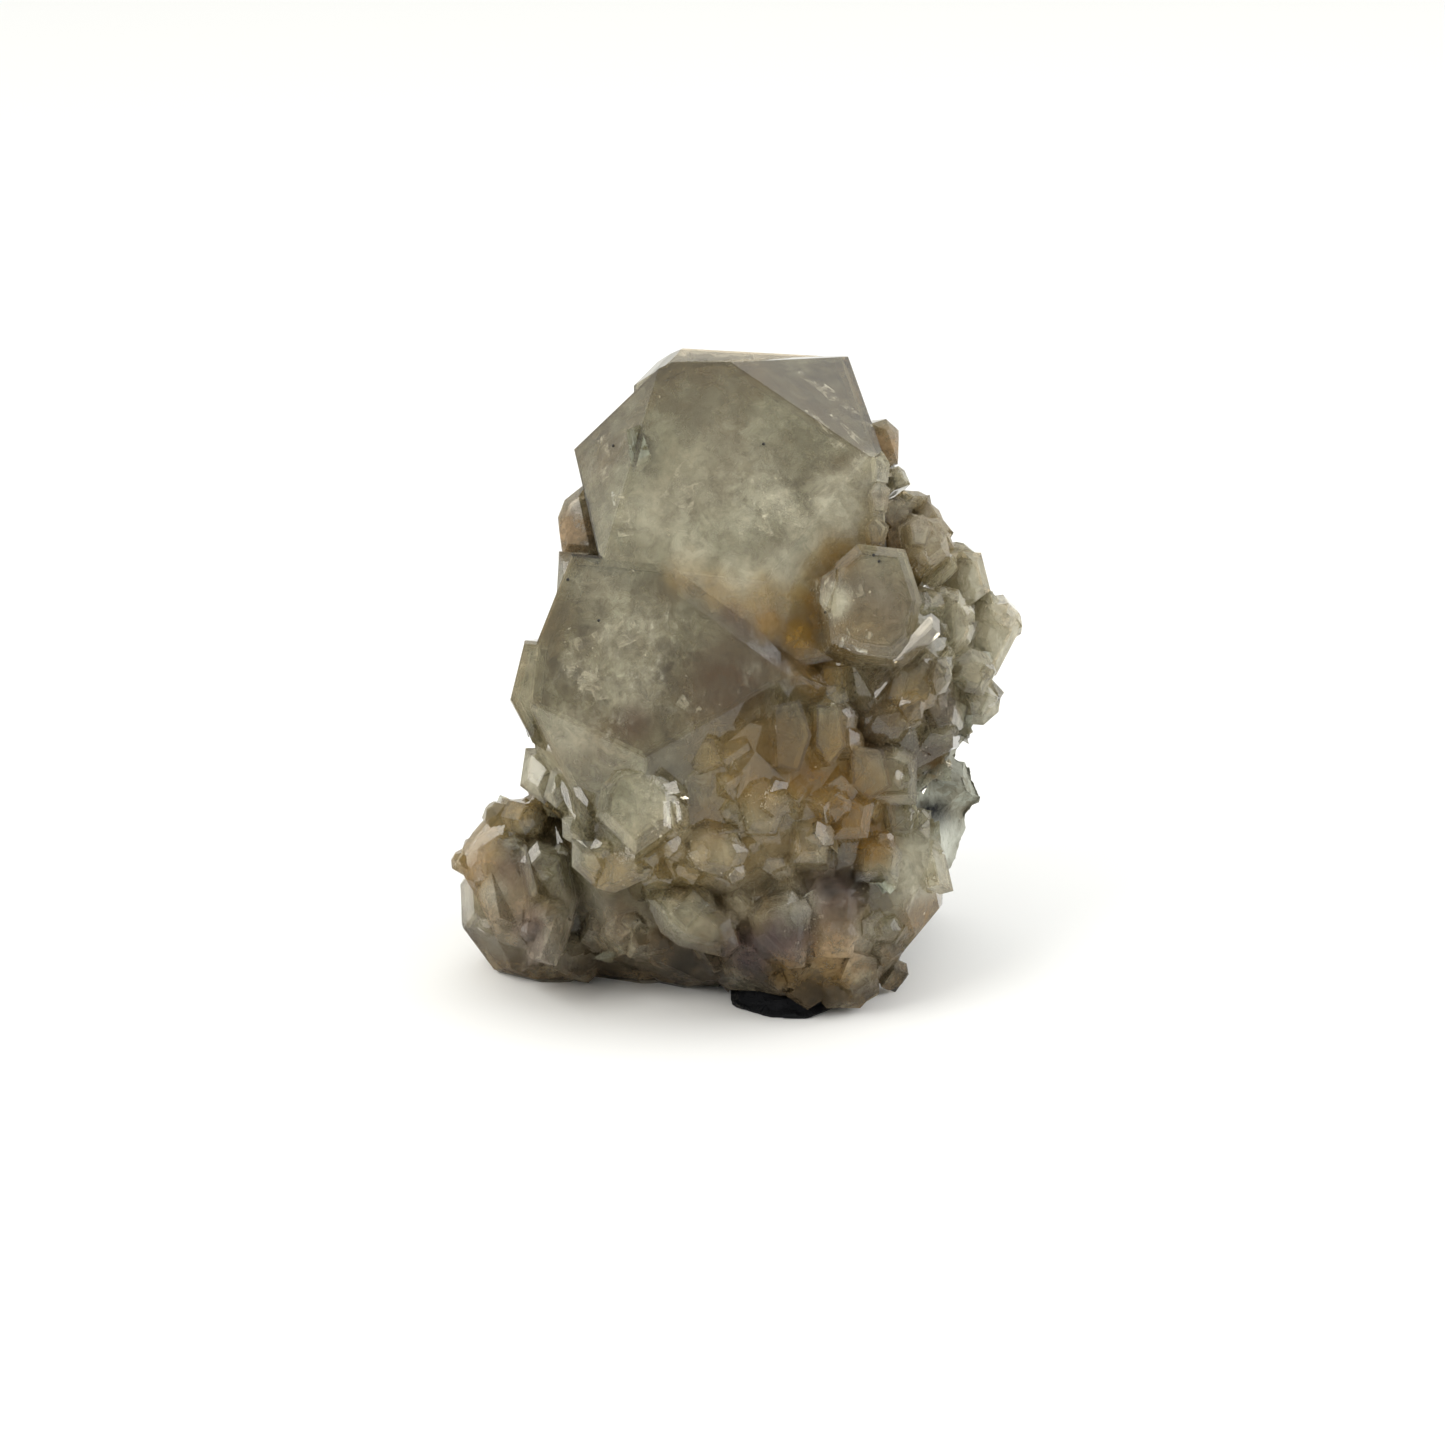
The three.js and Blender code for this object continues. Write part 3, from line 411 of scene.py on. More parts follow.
# Healed cracks in the big crystals: right, up, depth under the face, width, height and turn in degrees.
CRACKS = (
    (12, 62, 0.5, 8, 1.2, -38), (13, 58.5, 0.6, 7, 1, -42), (10, 59.5, 0.5, 6, 0.8, -35),
    (9, 64, 0.6, 5, 1, -40), (12.2, 56.5, 0.5, 5, 0.8, -45), (4.5, 51, 0.5, 3.6, 2.6, 20),
    (6.5, 49.5, 0.6, 2, 3, 80), (2, 48, 0.7, 3.5, 2, 10), (-5.5, 53, 0.8, 5, 3.5, 60),
    (-14.5, 56, 0.5, 1.2, 6, 8), (-12.5, 50, 0.6, 1.4, 5, 12), (-17, 33, 0.5, 1.6, 6, 12),
    (-18.2, 34.5, 0.5, 1, 5, 8), (-15.5, 31.5, 0.6, 1.4, 4, 18), (-13, 36.5, 0.7, 4.5, 3, 30),
    (-5.2, 28.6, 0.6, 2.6, 1.2, -30), (-9.5, 18.5, 0.5, 3, 3.5, 10), (-8, 17, 0.6, 2, 3, 0),
    (12.5, 41, 0.5, 3, 1.5, 30), (13.5, 36, 0.6, 2.4, 3, 70), (8, 7, 0.5, 3, 2, 30),
)


def front_surface(mesh):
    """A search tree over a mesh, to find what the camera sees at a place."""
    corners = [corner.co for corner in mesh.vertices]
    return BVHTree.FromPolygons(corners, [face.vertices for face in mesh.polygons])


def sight_line(right, up):
    """The direction from the camera to a place that it sees."""
    return (seen_place(right, up, 0) - EYE).normalized()


def seen_on(surface, right, up):
    """Where the sight line at a place meets a surface, and which way the surface faces there."""
    place, facing, _, _ = surface.ray_cast(EYE, sight_line(right, up))
    return place, facing


def make_blades(surface, faces, looking, proud):
    """Thin crystals as closed solids, one object for each, with faces that all look the same way."""
    facing = (RIGHT * looking[0] + UP * looking[1] + NEAR * looking[2]).normalized()
    rooted = 2.2 * MM
    thick = rooted + proud
    blades = []
    for corners in faces:
        middle = [sum(corner[side] for corner in corners) / len(corners) for side in (0, 1)]
        place, _ = seen_on(surface, *middle)
        place = place + NEAR * proud
        shape = bmesh.new()
        for right, up in corners:
            sight = sight_line(right, up)
            front = EYE + sight * ((place - EYE).dot(facing) / sight.dot(facing))
            shape.verts.new(front)
            shape.verts.new(front - facing * thick)
        bmesh.ops.convex_hull(shape, input=shape.verts)
        bmesh.ops.recalc_face_normals(shape, faces=shape.faces)
        mesh = bpy.data.meshes.new("blade")
        shape.to_mesh(mesh)
        shape.free()
        blades.append(placed("blade", mesh))
    return blades


def point_cloud(name, places, attributes):
    """A mesh of loose points with vector attributes, for a tree to put things on."""
    mesh = bpy.data.meshes.new(name)
    mesh.from_pydata(places, [], [])
    for attribute, values in attributes.items():
        layer = mesh.attributes.new(attribute, "FLOAT_VECTOR", "POINT")
        layer.data.foreach_set("vector", [part for value in values for part in value])
    return mesh


def crack_tree():
    """A thin wavy sheet on each point, turned and sized by the point's attributes."""
    tree, inside, outside = new_tree("healed cracks", "Wave")
    sheet = add(
        tree, "GeometryNodeMeshGrid", {"Size X": 1.0, "Size Y": 1.0, "Vertices X": 10, "Vertices Y": 10}
    )
    turn = add(tree, "GeometryNodeInputNamedAttribute", {"Name": "turn"}, data_type="FLOAT_VECTOR")
    size = add(tree, "GeometryNodeInputNamedAttribute", {"Name": "size"}, data_type="FLOAT_VECTOR")
    sheets = add(
        tree,
        "GeometryNodeInstanceOnPoints",
        {"Points": inside["Geometry"], "Instance": sheet, "Rotation": turn, "Scale": size},
    )
    plain = add(tree, "GeometryNodeRealizeInstances", {"Geometry": sheets})
    place = add(tree, "GeometryNodeInputPosition").outputs["Position"]
    waves = add(tree, "ShaderNodeTexNoise", {"Vector": place, "Scale": 300.0, "Detail": 1.0})
    middle = add(
        tree, "ShaderNodeVectorMath", {0: waves.outputs["Color"], 1: (0.5, 0.5, 0.5)}, operation="SUBTRACT"
    )
    shift = add(tree, "ShaderNodeVectorMath", {0: middle, "Scale": inside["Wave"]}, operation="SCALE")
    wavy = add(tree, "GeometryNodeSetPosition", {"Geometry": plain, "Offset": shift})
    painted = add(tree, "GeometryNodeSetMaterial", {"Geometry": wavy, "Material": healed_crack()})
    tree.links.new(painted.outputs["Geometry"], outside.inputs["Geometry"])
    return tree


def speck_tree():
    """A small black grain on each point."""
    tree, inside, outside = new_tree("black specks", "Radius")
    grain = add(tree, "GeometryNodeMeshIcoSphere", {"Radius": inside["Radius"], "Subdivisions": 2})
    grains = add(tree, "GeometryNodeInstanceOnPoints", {"Points": inside["Geometry"], "Instance": grain})
    # Grains of black iron ore that sit on the crystals.
    ore = plain_look("black iron ore", "#15130f", 0.5)
    return finish_tree(tree, outside, grains, ore)


def make_cracks(surface):
    """The healed cracks, each just under the face that is seen there."""
    places = []
    turns = []
    sizes = []
    for right, up, depth, width, height, turn in CRACKS:
        place, facing = seen_on(surface, right, up)
        across = RIGHT - facing * RIGHT.dot(facing)
        across.normalize()
        along = facing.cross(across)
        basis = Matrix((across, along, facing)).transposed() @ Matrix.Rotation(math.radians(turn), 3, "Z")
        basis = basis @ Matrix.Rotation(CRACK_TILT, 3, "Y")
        places.append(place - facing * depth * MM)
        turns.append(tuple(basis.to_euler()))
        sizes.append((width * MM, height * MM, 1.0))
    mesh = point_cloud("cracks", places, {"turn": turns, "size": sizes})
    return grown(mesh, "healed_cracks", crack_tree(), {"Wave": 1.2 * MM})


def make_specks(surface):
    places = [seen_on(surface, right, up)[0] for right, up in SPECKS]
    return grown(point_cloud("specks", places, {}), "black_specks", speck_tree(), {"Radius": 0.17 * MM})


# Where no small crystals grow, round the two big crystals and a smaller one: right, up, near and radius.
BARE = ((0.5, 57, 12, 22), (-10, 32, 20, 18), (12.7, 38, 18, 8))
# For an inset copy: how close corners are joined, the longest edge, the rounds that cut longer ones, how far
# a corner moves at most for one depth, how strongly it is held back, and the lowest corner.
JOIN_WITHIN = 0.02 * MM
LONGEST_EDGE = 1.6 * MM
CUTTING_ROUNDS = 5
FARTHEST_MOVE = 2.2
HOLD_BACK = 0.03
LOWEST_CORNER = 0.4 * MM


def inset_copy(mesh, depth):
    """A copy of a faceted solid with each face moved inwards by a depth, or outwards by a negative one.

    Each crystal face also gets a number of its own: a random one, as quartz grows clearer under some faces,
    and on the listed faces a painted light and shade that makes them paler or darker as lit or shaded faces
    look.
    """
    shape = bmesh.new()
    shape.from_mesh(mesh)
    bmesh.ops.remove_doubles(shape, verts=shape.verts, dist=JOIN_WITHIN)
    bmesh.ops.dissolve_limit(shape, angle_limit=SAME_FACE, verts=shape.verts, edges=shape.edges)
    sector_and_face_light = shape.faces.layers.float.new("sector_and_face_light")
    shape.faces.ensure_lookup_table()
    chance = np.random.default_rng(seed=7).random(len(shape.faces))
    for face in shape.faces:
        face[sector_and_face_light] = chance[face.index]
    faces_ahead = BVHTree.FromBMesh(shape)
    # Painted light and shade: the listed faces get a tone that makes them look lit or shaded.
    for right, up, tone in PAINTED_FACE_LIGHT:
        place = seen_place(right, up, TONES_NEAR)
        _, _, seen_face, _ = faces_ahead.ray_cast(place, (place - EYE).normalized())
        if seen_face is not None:
            shape.faces[seen_face][sector_and_face_light] = tone
    bmesh.ops.triangulate(shape, faces=shape.faces, quad_method="SHORT_EDGE", ngon_method="EAR_CLIP")
    for _ in range(CUTTING_ROUNDS):
        long_edges = [edge for edge in shape.edges if edge.calc_length() > LONGEST_EDGE]
        bmesh.ops.subdivide_edges(shape, edges=long_edges, cuts=1)
        cut_faces = [face for face in shape.faces if len(face.verts) > 3]
        bmesh.ops.triangulate(shape, faces=cut_faces, quad_method="SHORT_EDGE", ngon_method="EAR_CLIP")
    shape.normal_update()
    farthest = FARTHEST_MOVE * abs(depth)
    moves = []
    for corner in shape.verts:
        planes = HOLD_BACK * Matrix.Identity(3)
        aim = Vector()
        for face in corner.link_faces:
            facing = face.normal
            planes += Matrix((facing * facing.x, facing * facing.y, facing * facing.z))
            aim += facing
        move = planes.inverted() @ aim * -depth
        if move.length > farthest:
            move = move.normalized() * farthest
        moves.append(move)
    for corner, move in zip(shape.verts, moves):
        corner.co += move
        corner.co.z = max(corner.co.z, LOWEST_CORNER)
    inset = bpy.data.meshes.new("inset")
    shape.to_mesh(inset)
    shape.free()
    return inset


def crust_tree(blades):
    """Small crystals on the faces that are marked as crust, joined with the mesh in one solid."""
    tree, inside, outside = new_tree("small crystals", "Least width", "Most width", "Spacing", "Seed")
    crust = add(tree, "GeometryNodeInputNamedAttribute", {"Name": "crust"}, data_type="FLOAT")
    points = add(
        tree,
        "GeometryNodeDistributePointsOnFaces",
        {
            "Mesh": inside["Geometry"],
            "Distance Min": inside["Spacing"],
            "Density Max": 400000.0,
            "Density Factor": crust,
            "Seed": inside["Seed"],
        },
        distribute_method="POISSON",
    )
    prism = add(
        tree, "GeometryNodeMeshCylinder", {"Vertices": 6, "Radius": 0.5, "Depth": 0.8}, fill_type="NGON"
    )
    sunk = add(tree, "GeometryNodeTransform", {"Geometry": prism, "Translation": (0, 0, -0.36)})
    facing = add(tree, "ShaderNodeSeparateXYZ", {0: add(tree, "GeometryNodeInputNormal")})
    upper_end = add(tree, "FunctionNodeCompare", {0: facing.outputs["Z"], 1: 0.9}, operation="GREATER_THAN")
    pointed = add(
        tree,
        "GeometryNodeExtrudeMesh",
        {"Mesh": sunk, "Selection": upper_end, "Offset Scale": 0.18},
        mode="FACES",
    )
    narrowed = add(
        tree,
        "GeometryNodeScaleElements",
        {"Geometry": pointed, "Selection": pointed.outputs["Top"], "Scale": 0.4},
        domain="FACE",
    )
    leaning = add(
        tree,
        "GeometryNodeSetPosition",
        {"Geometry": narrowed, "Selection": pointed.outputs["Top"], "Offset": (0.06, 0.03, 0)},
    )
    spin = add(
        tree,
        "FunctionNodeRandomValue",
        {"Min": (-0.3, -0.3, -0.15), "Max": (0.3, 0.3, 0.15), "Seed": inside["Seed"]},
        data_type="FLOAT_VECTOR",
    )
    turned = add(
        tree,
        "FunctionNodeRotateRotation",
        {"Rotation": points.outputs["Rotation"], "Rotate By": spin},
        rotation_space="LOCAL",
    )
    width = add(
        tree,
        "FunctionNodeRandomValue",
        {"Min": inside["Least width"], "Max": inside["Most width"], "Seed": inside["Seed"]},
        data_type="FLOAT",
    )
    stretch = add(
        tree,
        "FunctionNodeRandomValue",
        {"Min": (0.7, 0.7, 0.8), "Max": (1.1, 1, 1.2), "Seed": inside["Seed"]},
        data_type="FLOAT_VECTOR",
    )
    scale = add(tree, "ShaderNodeVectorMath", {0: stretch, "Scale": width}, operation="SCALE")
    height = add(tree, "ShaderNodeSeparateXYZ", {0: add(tree, "GeometryNodeInputPosition")})
    clear_of_floor = add(
        tree, "FunctionNodeCompare", {0: height.outputs["Z"], 1: 4.0 * MM}, operation="GREATER_THAN"
    )
    slope = add(tree, "ShaderNodeSeparateXYZ", {0: points.outputs["Normal"]})
    not_under = add(tree, "FunctionNodeCompare", {0: slope.outputs["Z"], 1: -0.12}, operation="GREATER_THAN")
    chosen = add(tree, "FunctionNodeBooleanMath", {0: clear_of_floor, 1: not_under}, operation="AND")
    crystals = add(
        tree,
        "GeometryNodeInstanceOnPoints",
        {"Points": points, "Selection": chosen, "Instance": leaning, "Rotation": turned, "Scale": scale},
    )
    united = add(tree, "GeometryNodeMeshBoolean", operation="UNION", solver="MANIFOLD")
    tree.links.new(inside["Geometry"], united.inputs["Mesh 2"])
    tree.links.new(crystals.outputs["Instances"], united.inputs["Mesh 2"])
    for blade in blades:
        grown_blade = add(tree, "GeometryNodeObjectInfo", {"Object": blade})
        tree.links.new(grown_blade.outputs["Geometry"], united.inputs["Mesh 2"])
    return finish_tree(tree, outside, united, clear_quartz())


def mark_crust(mesh):
    """A number on each face that says whether small crystals grow there: not on the big flat faces."""
    shape = bmesh.new()
    shape.from_mesh(mesh)
    bmesh.ops.dissolve_limit(shape, angle_limit=SAME_FACE, verts=shape.verts, edges=shape.edges)
    layer = shape.faces.layers.float.new("crust")
    biggest = 22 * MM * MM
    foot = 2 * MM
    for face in shape.faces:
        middle = face.calc_center_median()
        bare = any((middle - seen_place(*place)).length < radius * MM for *place, radius in BARE)
        small = face.calc_area() < biggest
        low = middle.z < foot
        face[layer] = 1.0 if small and not bare and not low else 0.0
    worn = 0.09 * MM
    shortest = 2 * MM
    flattest = 0.2
    sharp = []
    for edge in shape.edges:
        if edge.calc_length() > shortest and edge.is_manifold and edge.calc_face_angle_signed(0) > flattest:
            sharp.append(edge)
    bmesh.ops.bevel(
        shape, geom=sharp, offset=worn, segments=1, profile=0.5, affect="EDGES", clamp_overlap=True
    )
    shape.to_mesh(mesh)
    shape.free()


def inner_shell_tree(material):
    """The surface that lies a set depth inside a closed mesh."""
    tree, inside, outside = new_tree("inner shell", "Depth", "Band", "Voxel")
    share = add(tree, "ShaderNodeMath", {0: inside["Depth"], 1: inside["Band"]}, operation="DIVIDE")
    fog = add(
        tree,
        "GeometryNodeMeshToVolume",
        {"Mesh": inside["Geometry"], "Voxel Size": inside["Voxel"], "Interior Band Width": inside["Band"]},
        resolution_mode="VOXEL_SIZE",
    )
    skin = add(
        tree,
        "GeometryNodeVolumeToMesh",
        {"Volume": fog, "Voxel Size": inside["Voxel"], "Threshold": share},
        resolution_mode="VOXEL_SIZE",
    )
    plain = add(tree, "GeometryNodeRealizeInstances", {"Geometry": skin})
    smooth = add(tree, "GeometryNodeSetShadeSmooth", {"Geometry": plain})
    painted = add(tree, "GeometryNodeSetMaterial", {"Geometry": smooth, "Material": material})
    tree.links.new(painted.outputs["Geometry"], outside.inputs["Geometry"])
    return tree


def clear_quartz():
    """Natural quartz with glossy growth faces: it bends what is behind it and warms it with depth, and its
    tint darkens towards the foot as painted shade.
    """
    material, tree, places = new_look("clear smoky quartz")
    haze = add(tree, "ShaderNodeTexNoise", {"Vector": places, "Scale": 260.0, "Detail": 4.0})
    gloss = add(
        tree,
        "ShaderNodeMapRange",
        {"Value": haze, "From Min": 0.35, "From Max": 0.7, "To Min": 0.02, "To Max": 0.1},
    )
    fine = add(tree, "ShaderNodeTexNoise", {"Vector": places, "Scale": 900.0, "Detail": 3.0})
    bump = add(tree, "ShaderNodeBump", {"Height": fine, "Strength": 0.12, "Distance": 0.04 * MM})
    # Painted shade: the tint darkens towards the foot, most at 0.5 mm up and not at all from 7 mm up.
    height = add(tree, "ShaderNodeSeparateXYZ", {0: places})
    foot = add(
        tree,
        "ShaderNodeMapRange",
        {
            "Value": height.outputs["Z"],
            "From Min": 0.5 * MM,
            "From Max": 7 * MM,
            "To Min": 0.9,
            "To Max": 0.0,
        },
    )
    tint = add(
        tree, "ShaderNodeMix", {0: foot, 6: colour("#dcd6c4"), 7: colour("#3e3426")}, data_type="RGBA"
    )
    shader = add(
        tree,
        "ShaderNodeBsdfPrincipled",
        {"Base Color": tint, "Roughness": gloss, "IOR": 1.544, "Transmission Weight": 0.97, "Normal": bump},
    )
    rays = add(tree, "ShaderNodeLightPath")
    through = add(tree, "ShaderNodeBsdfTransparent", {"Color": colour("#f6f2ea")})
    for_soft_light = add(
        tree, "ShaderNodeMixShader", {0: rays.outputs["Is Diffuse Ray"], 1: shader, 2: through}
    )
    surface = add(
        tree, "ShaderNodeMixShader", {0: rays.outputs["Is Shadow Ray"], 1: for_soft_light, 2: through}
    )
    smoke = add(tree, "ShaderNodeVolumeAbsorption", {"Color": colour("#cdb585"), "Density": 120.0})
    add(tree, "ShaderNodeOutputMaterial", {"Surface": surface, "Volume": smoke})
    return material


def cloudy_quartz(name, clearest, thickest, seed, sector_and_light_share):
    """Milky quartz inside a crystal: veils of tiny bubbles that hide what is behind them in places."""
    material, tree, places = new_look(name)
    moved = add(tree, "ShaderNodeMapping", {"Vector": places, "Location": (seed * 0.1, seed * 0.07, 0)})
    point = moved.outputs[0]
    big = add(
        tree, "ShaderNodeTexNoise", {"Vector": point, "Scale": 120.0, "Detail": 8.0, "Roughness": 0.62}
    )
    small = add(
        tree,
        "ShaderNodeTexNoise",
        {"Vector": point, "Scale": 520.0, "Detail": 8.0, "Roughness": 0.72, "Distortion": 0.6},
    )
    bent = add(tree, "ShaderNodeMix", {0: 0.02, 4: point, 5: small.outputs["Color"]}, data_type="VECTOR")
    grains = add(tree, "ShaderNodeTexVoronoi", {"Vector": bent, "Scale": 190.0})
    grain = add(tree, "ShaderNodeSeparateColor", {0: grains.outputs["Color"]})
    level = add(tree, "ShaderNodeMath", {0: grain, 1: 0.16, 2: big}, operation="MULTIPLY_ADD")
    mottle = add(tree, "ShaderNodeAttribute", attribute_name="mottle")
    swing = add(tree, "ShaderNodeMath", {0: mottle.outputs["Fac"], 1: 0.28}, operation="ADD")
    off_middle = add(tree, "ShaderNodeMath", {0: small, 1: 0.5}, operation="SUBTRACT")
    uneven = add(tree, "ShaderNodeMath", {0: off_middle, 1: swing, 2: level}, operation="MULTIPLY_ADD")
    # Painted light and shade: each face's own number makes the listed faces paler or darker, over random
    # growth zoning.
    sector_and_face_light = add(tree, "ShaderNodeAttribute", attribute_name="sector_and_face_light")
    paler = add(
        tree,
        "ShaderNodeMath",
        {0: sector_and_face_light.outputs["Fac"], 1: sector_and_light_share, 2: uneven},
        operation="MULTIPLY_ADD",
    )
    tone = add(tree, "ShaderNodeValToRGB", {"Fac": paler})
    set_ramp(tone.color_ramp, ((0.38, "#3d3219"), (0.62, "#746f55"), (0.82, "#a6aa98"), (1.0, "#d4d2c0")))
    rust = add(tree, "ShaderNodeTexNoise", {"Vector": point, "Scale": 80.0, "Detail": 7.0, "Roughness": 0.6})
    browner = add(
        tree,
        "ShaderNodeMapRange",
        {"Value": rust, "From Min": 0.46, "From Max": 0.66, "To Min": 0.0, "To Max": 0.6},
    )
    brown = add(tree, "ShaderNodeMix", {0: browner, 6: tone, 7: colour("#786238")}, data_type="RGBA")
    blotches = add(
        tree,
        "ShaderNodeMapRange",
        {"Value": small, "From Min": 0.36, "From Max": 0.56, "To Min": 0.45, "To Max": 1.3},
    )
    stains = {
        "violet": (blotches, "#58434f"),
        "rose": (blotches, "#9c836c"),
        "peach": (blotches, "#ae9966"),
        "iron": (blotches, "#977318"),
        "smoke": (blotches, "#523809"),
        # Painted shade: near black at the foot, with small dark spots just above it.
        "foot_shade_and_dark_spots": (blotches, "#130f08"),
        "milk": (blotches, "#dcdfd4"),
    }
    mixed = stained(tree, brown, stains)
    drawn_out = add(tree, "ShaderNodeMapping", {"Vector": point, "Scale": (1.0, 1.0, 0.22)})
    lines = add(
        tree, "ShaderNodeTexNoise", {"Vector": drawn_out, "Scale": 800.0, "Detail": 5.0, "Roughness": 0.65}
    )
    bright_lines = add(
        tree,
        "ShaderNodeMapRange",
        {"Value": lines, "From Min": 0.52, "From Max": 0.68, "To Min": 0.0, "To Max": 0.9},
    )
    streaky = add(tree, "ShaderNodeAttribute", attribute_name="streaks")
    some = add(tree, "ShaderNodeMath", {0: streaky.outputs["Fac"], 1: 0.06}, operation="ADD")
    streak = add(tree, "ShaderNodeMath", {0: bright_lines, 1: some}, operation="MULTIPLY", use_clamp=True)
    streaked = add(tree, "ShaderNodeMix", {0: streak, 6: mixed, 7: colour("#d4d7cf")}, data_type="RGBA")
    cover = add(
        tree,
        "ShaderNodeMapRange",
        {"Value": small, "From Min": 0.36, "From Max": 0.66, "To Min": clearest, "To Max": thickest},
    )
    thicker = add(tree, "ShaderNodeMath", {0: cover, 1: streak}, operation="MAXIMUM")
    shader = add(
        tree,
        "ShaderNodeBsdfPrincipled",
        {"Base Color": streaked, "Roughness": 0.6, "Specular IOR Level": 0.0, "Alpha": thicker},
    )
    add(tree, "ShaderNodeOutputMaterial", {"Surface": shader})
    return material


def host_rock():
    """Fine-grained host rock, gritty and matt: pale blue-grey where it is fresh, near black at the foot."""
    material, tree, places = new_look("host rock")
    patches = add(
        tree,
        "ShaderNodeTexNoise",
        {"Vector": places, "Scale": 160.0, "Detail": 10.0, "Roughness": 0.7, "Distortion": 0.5},
    )
    grain = add(
        tree, "ShaderNodeTexNoise", {"Vector": places, "Scale": 1300.0, "Detail": 6.0, "Roughness": 0.75}
    )
    mineral = add(tree, "ShaderNodeTexVoronoi", {"Vector": places, "Scale": 1100.0})
    crystal = add(tree, "ShaderNodeSeparateColor", {0: mineral.outputs["Color"]})
    speckled = add(tree, "ShaderNodeMath", {0: crystal, 1: 0.14, 2: patches}, operation="MULTIPLY_ADD")
    tone = add(tree, "ShaderNodeValToRGB", {"Fac": speckled})
    set_ramp(tone.color_ramp, ((0.4, "#4f524a"), (0.5, "#7a7462"), (0.76, "#a8aa9c")))
    dark = add(tree, "ShaderNodeAttribute", attribute_name="dark")
    broken = add(
        tree,
        "ShaderNodeMapRange",
        {"Value": grain, "From Min": 0.3, "From Max": 0.7, "To Min": 1.6, "To Max": 0.85},
    )
    share = add(
        tree, "ShaderNodeMath", {0: dark.outputs["Fac"], 1: broken}, operation="MULTIPLY", use_clamp=True
    )
    darker = add(tree, "ShaderNodeMix", {0: share, 6: tone, 7: colour("#0e0f12")}, data_type="RGBA")
    pale = add(tree, "ShaderNodeAttribute", attribute_name="pale")
    paler = add(
        tree, "ShaderNodeMix", {0: pale.outputs["Fac"], 6: darker, 7: colour("#c9cabd")}, data_type="RGBA"
    )
    bump = add(tree, "ShaderNodeBump", {"Height": grain, "Strength": 0.5, "Distance": 0.3 * MM})
    shader = add(
        tree,
        "ShaderNodeBsdfPrincipled",
        {"Base Color": paler, "Roughness": 0.85, "Specular IOR Level": 0.25, "Normal": bump},
    )
    add(tree, "ShaderNodeOutputMaterial", {"Surface": shader})
    return material


def broken_rock_tree():
    """A solid remade in small faces that are worn and chipped inwards, with its flat underside kept."""
    tree, inside, outside = new_tree("broken rock", "Voxel", "Chip")
    fog = add(
        tree,
        "GeometryNodeMeshToVolume",
        {"Mesh": inside["Geometry"], "Voxel Size": inside["Voxel"], "Interior Band Width": 1.5 * MM},
        resolution_mode="VOXEL_SIZE",
    )
    skin = add(
        tree,
        "GeometryNodeVolumeToMesh",
        {"Volume": fog, "Voxel Size": inside["Voxel"], "Threshold": 0.05},
        resolution_mode="VOXEL_SIZE",
    )
    place = add(tree, "GeometryNodeInputPosition").outputs["Position"]
    blocks = add(tree, "ShaderNodeTexVoronoi", {"Vector": place, "Scale": 330.0})
    rough = add(
        tree, "ShaderNodeTexNoise", {"Vector": place, "Scale": 900.0, "Detail": 5.0, "Roughness": 0.7}
    )
    relief = add(tree, "ShaderNodeMath", {0: blocks.outputs["Distance"], 1: rough}, operation="ADD")
    deep = add(tree, "ShaderNodeMath", {0: relief, 1: inside["Chip"]}, operation="MULTIPLY")
    inward = add(
        tree,
        "ShaderNodeVectorMath",
        {0: add(tree, "GeometryNodeInputNormal"), "Scale": deep},
        operation="SCALE",
    )
    height = add(tree, "ShaderNodeSeparateXYZ", {0: place})
    above = add(tree, "FunctionNodeCompare", {0: height.outputs["Z"], 1: 0.6 * MM}, operation="GREATER_THAN")
    chipped = add(tree, "GeometryNodeSetPosition", {"Geometry": skin, "Selection": above, "Offset": inward})
    return finish_tree(tree, outside, chipped, host_rock())


def stained_skin():
    """Iron and clay stain that has dried on the crystals: a thin matt skin in brown and violet blotches."""
    material, tree, places = new_look("iron-stained skin")
    patches = add(
        tree,
        "ShaderNodeTexNoise",
        {"Vector": places, "Scale": 230.0, "Detail": 8.0, "Roughness": 0.65, "Distortion": 0.4},
    )
    fine = add(
        tree, "ShaderNodeTexNoise", {"Vector": places, "Scale": 900.0, "Detail": 6.0, "Roughness": 0.7}
    )
    tone = add(tree, "ShaderNodeValToRGB", {"Fac": patches})
    set_ramp(tone.color_ramp, ((0.36, "#443a2b"), (0.5, "#736249"), (0.66, "#968d76")))
    mixed = stained(tree, tone, SKIN_STAINS)
    broken = add(
        tree,
        "ShaderNodeMapRange",
        {"Value": fine, "From Min": 0.36, "From Max": 0.62, "To Min": 0.5, "To Max": 1.3},
    )
    film = add(tree, "ShaderNodeAttribute", attribute_name="film")
    cover = add(
        tree, "ShaderNodeMath", {0: film.outputs["Fac"], 1: broken}, operation="MULTIPLY", use_clamp=True
    )
    bump = add(tree, "ShaderNodeBump", {"Height": fine, "Strength": 0.6, "Distance": 0.2 * MM})
    shader = add(
        tree,
        "ShaderNodeBsdfPrincipled",
        {"Base Color": mixed, "Roughness": 0.55, "Specular IOR Level": 0.25, "Alpha": cover, "Normal": bump},
    )
    add(tree, "ShaderNodeOutputMaterial", {"Surface": shader})
    return material


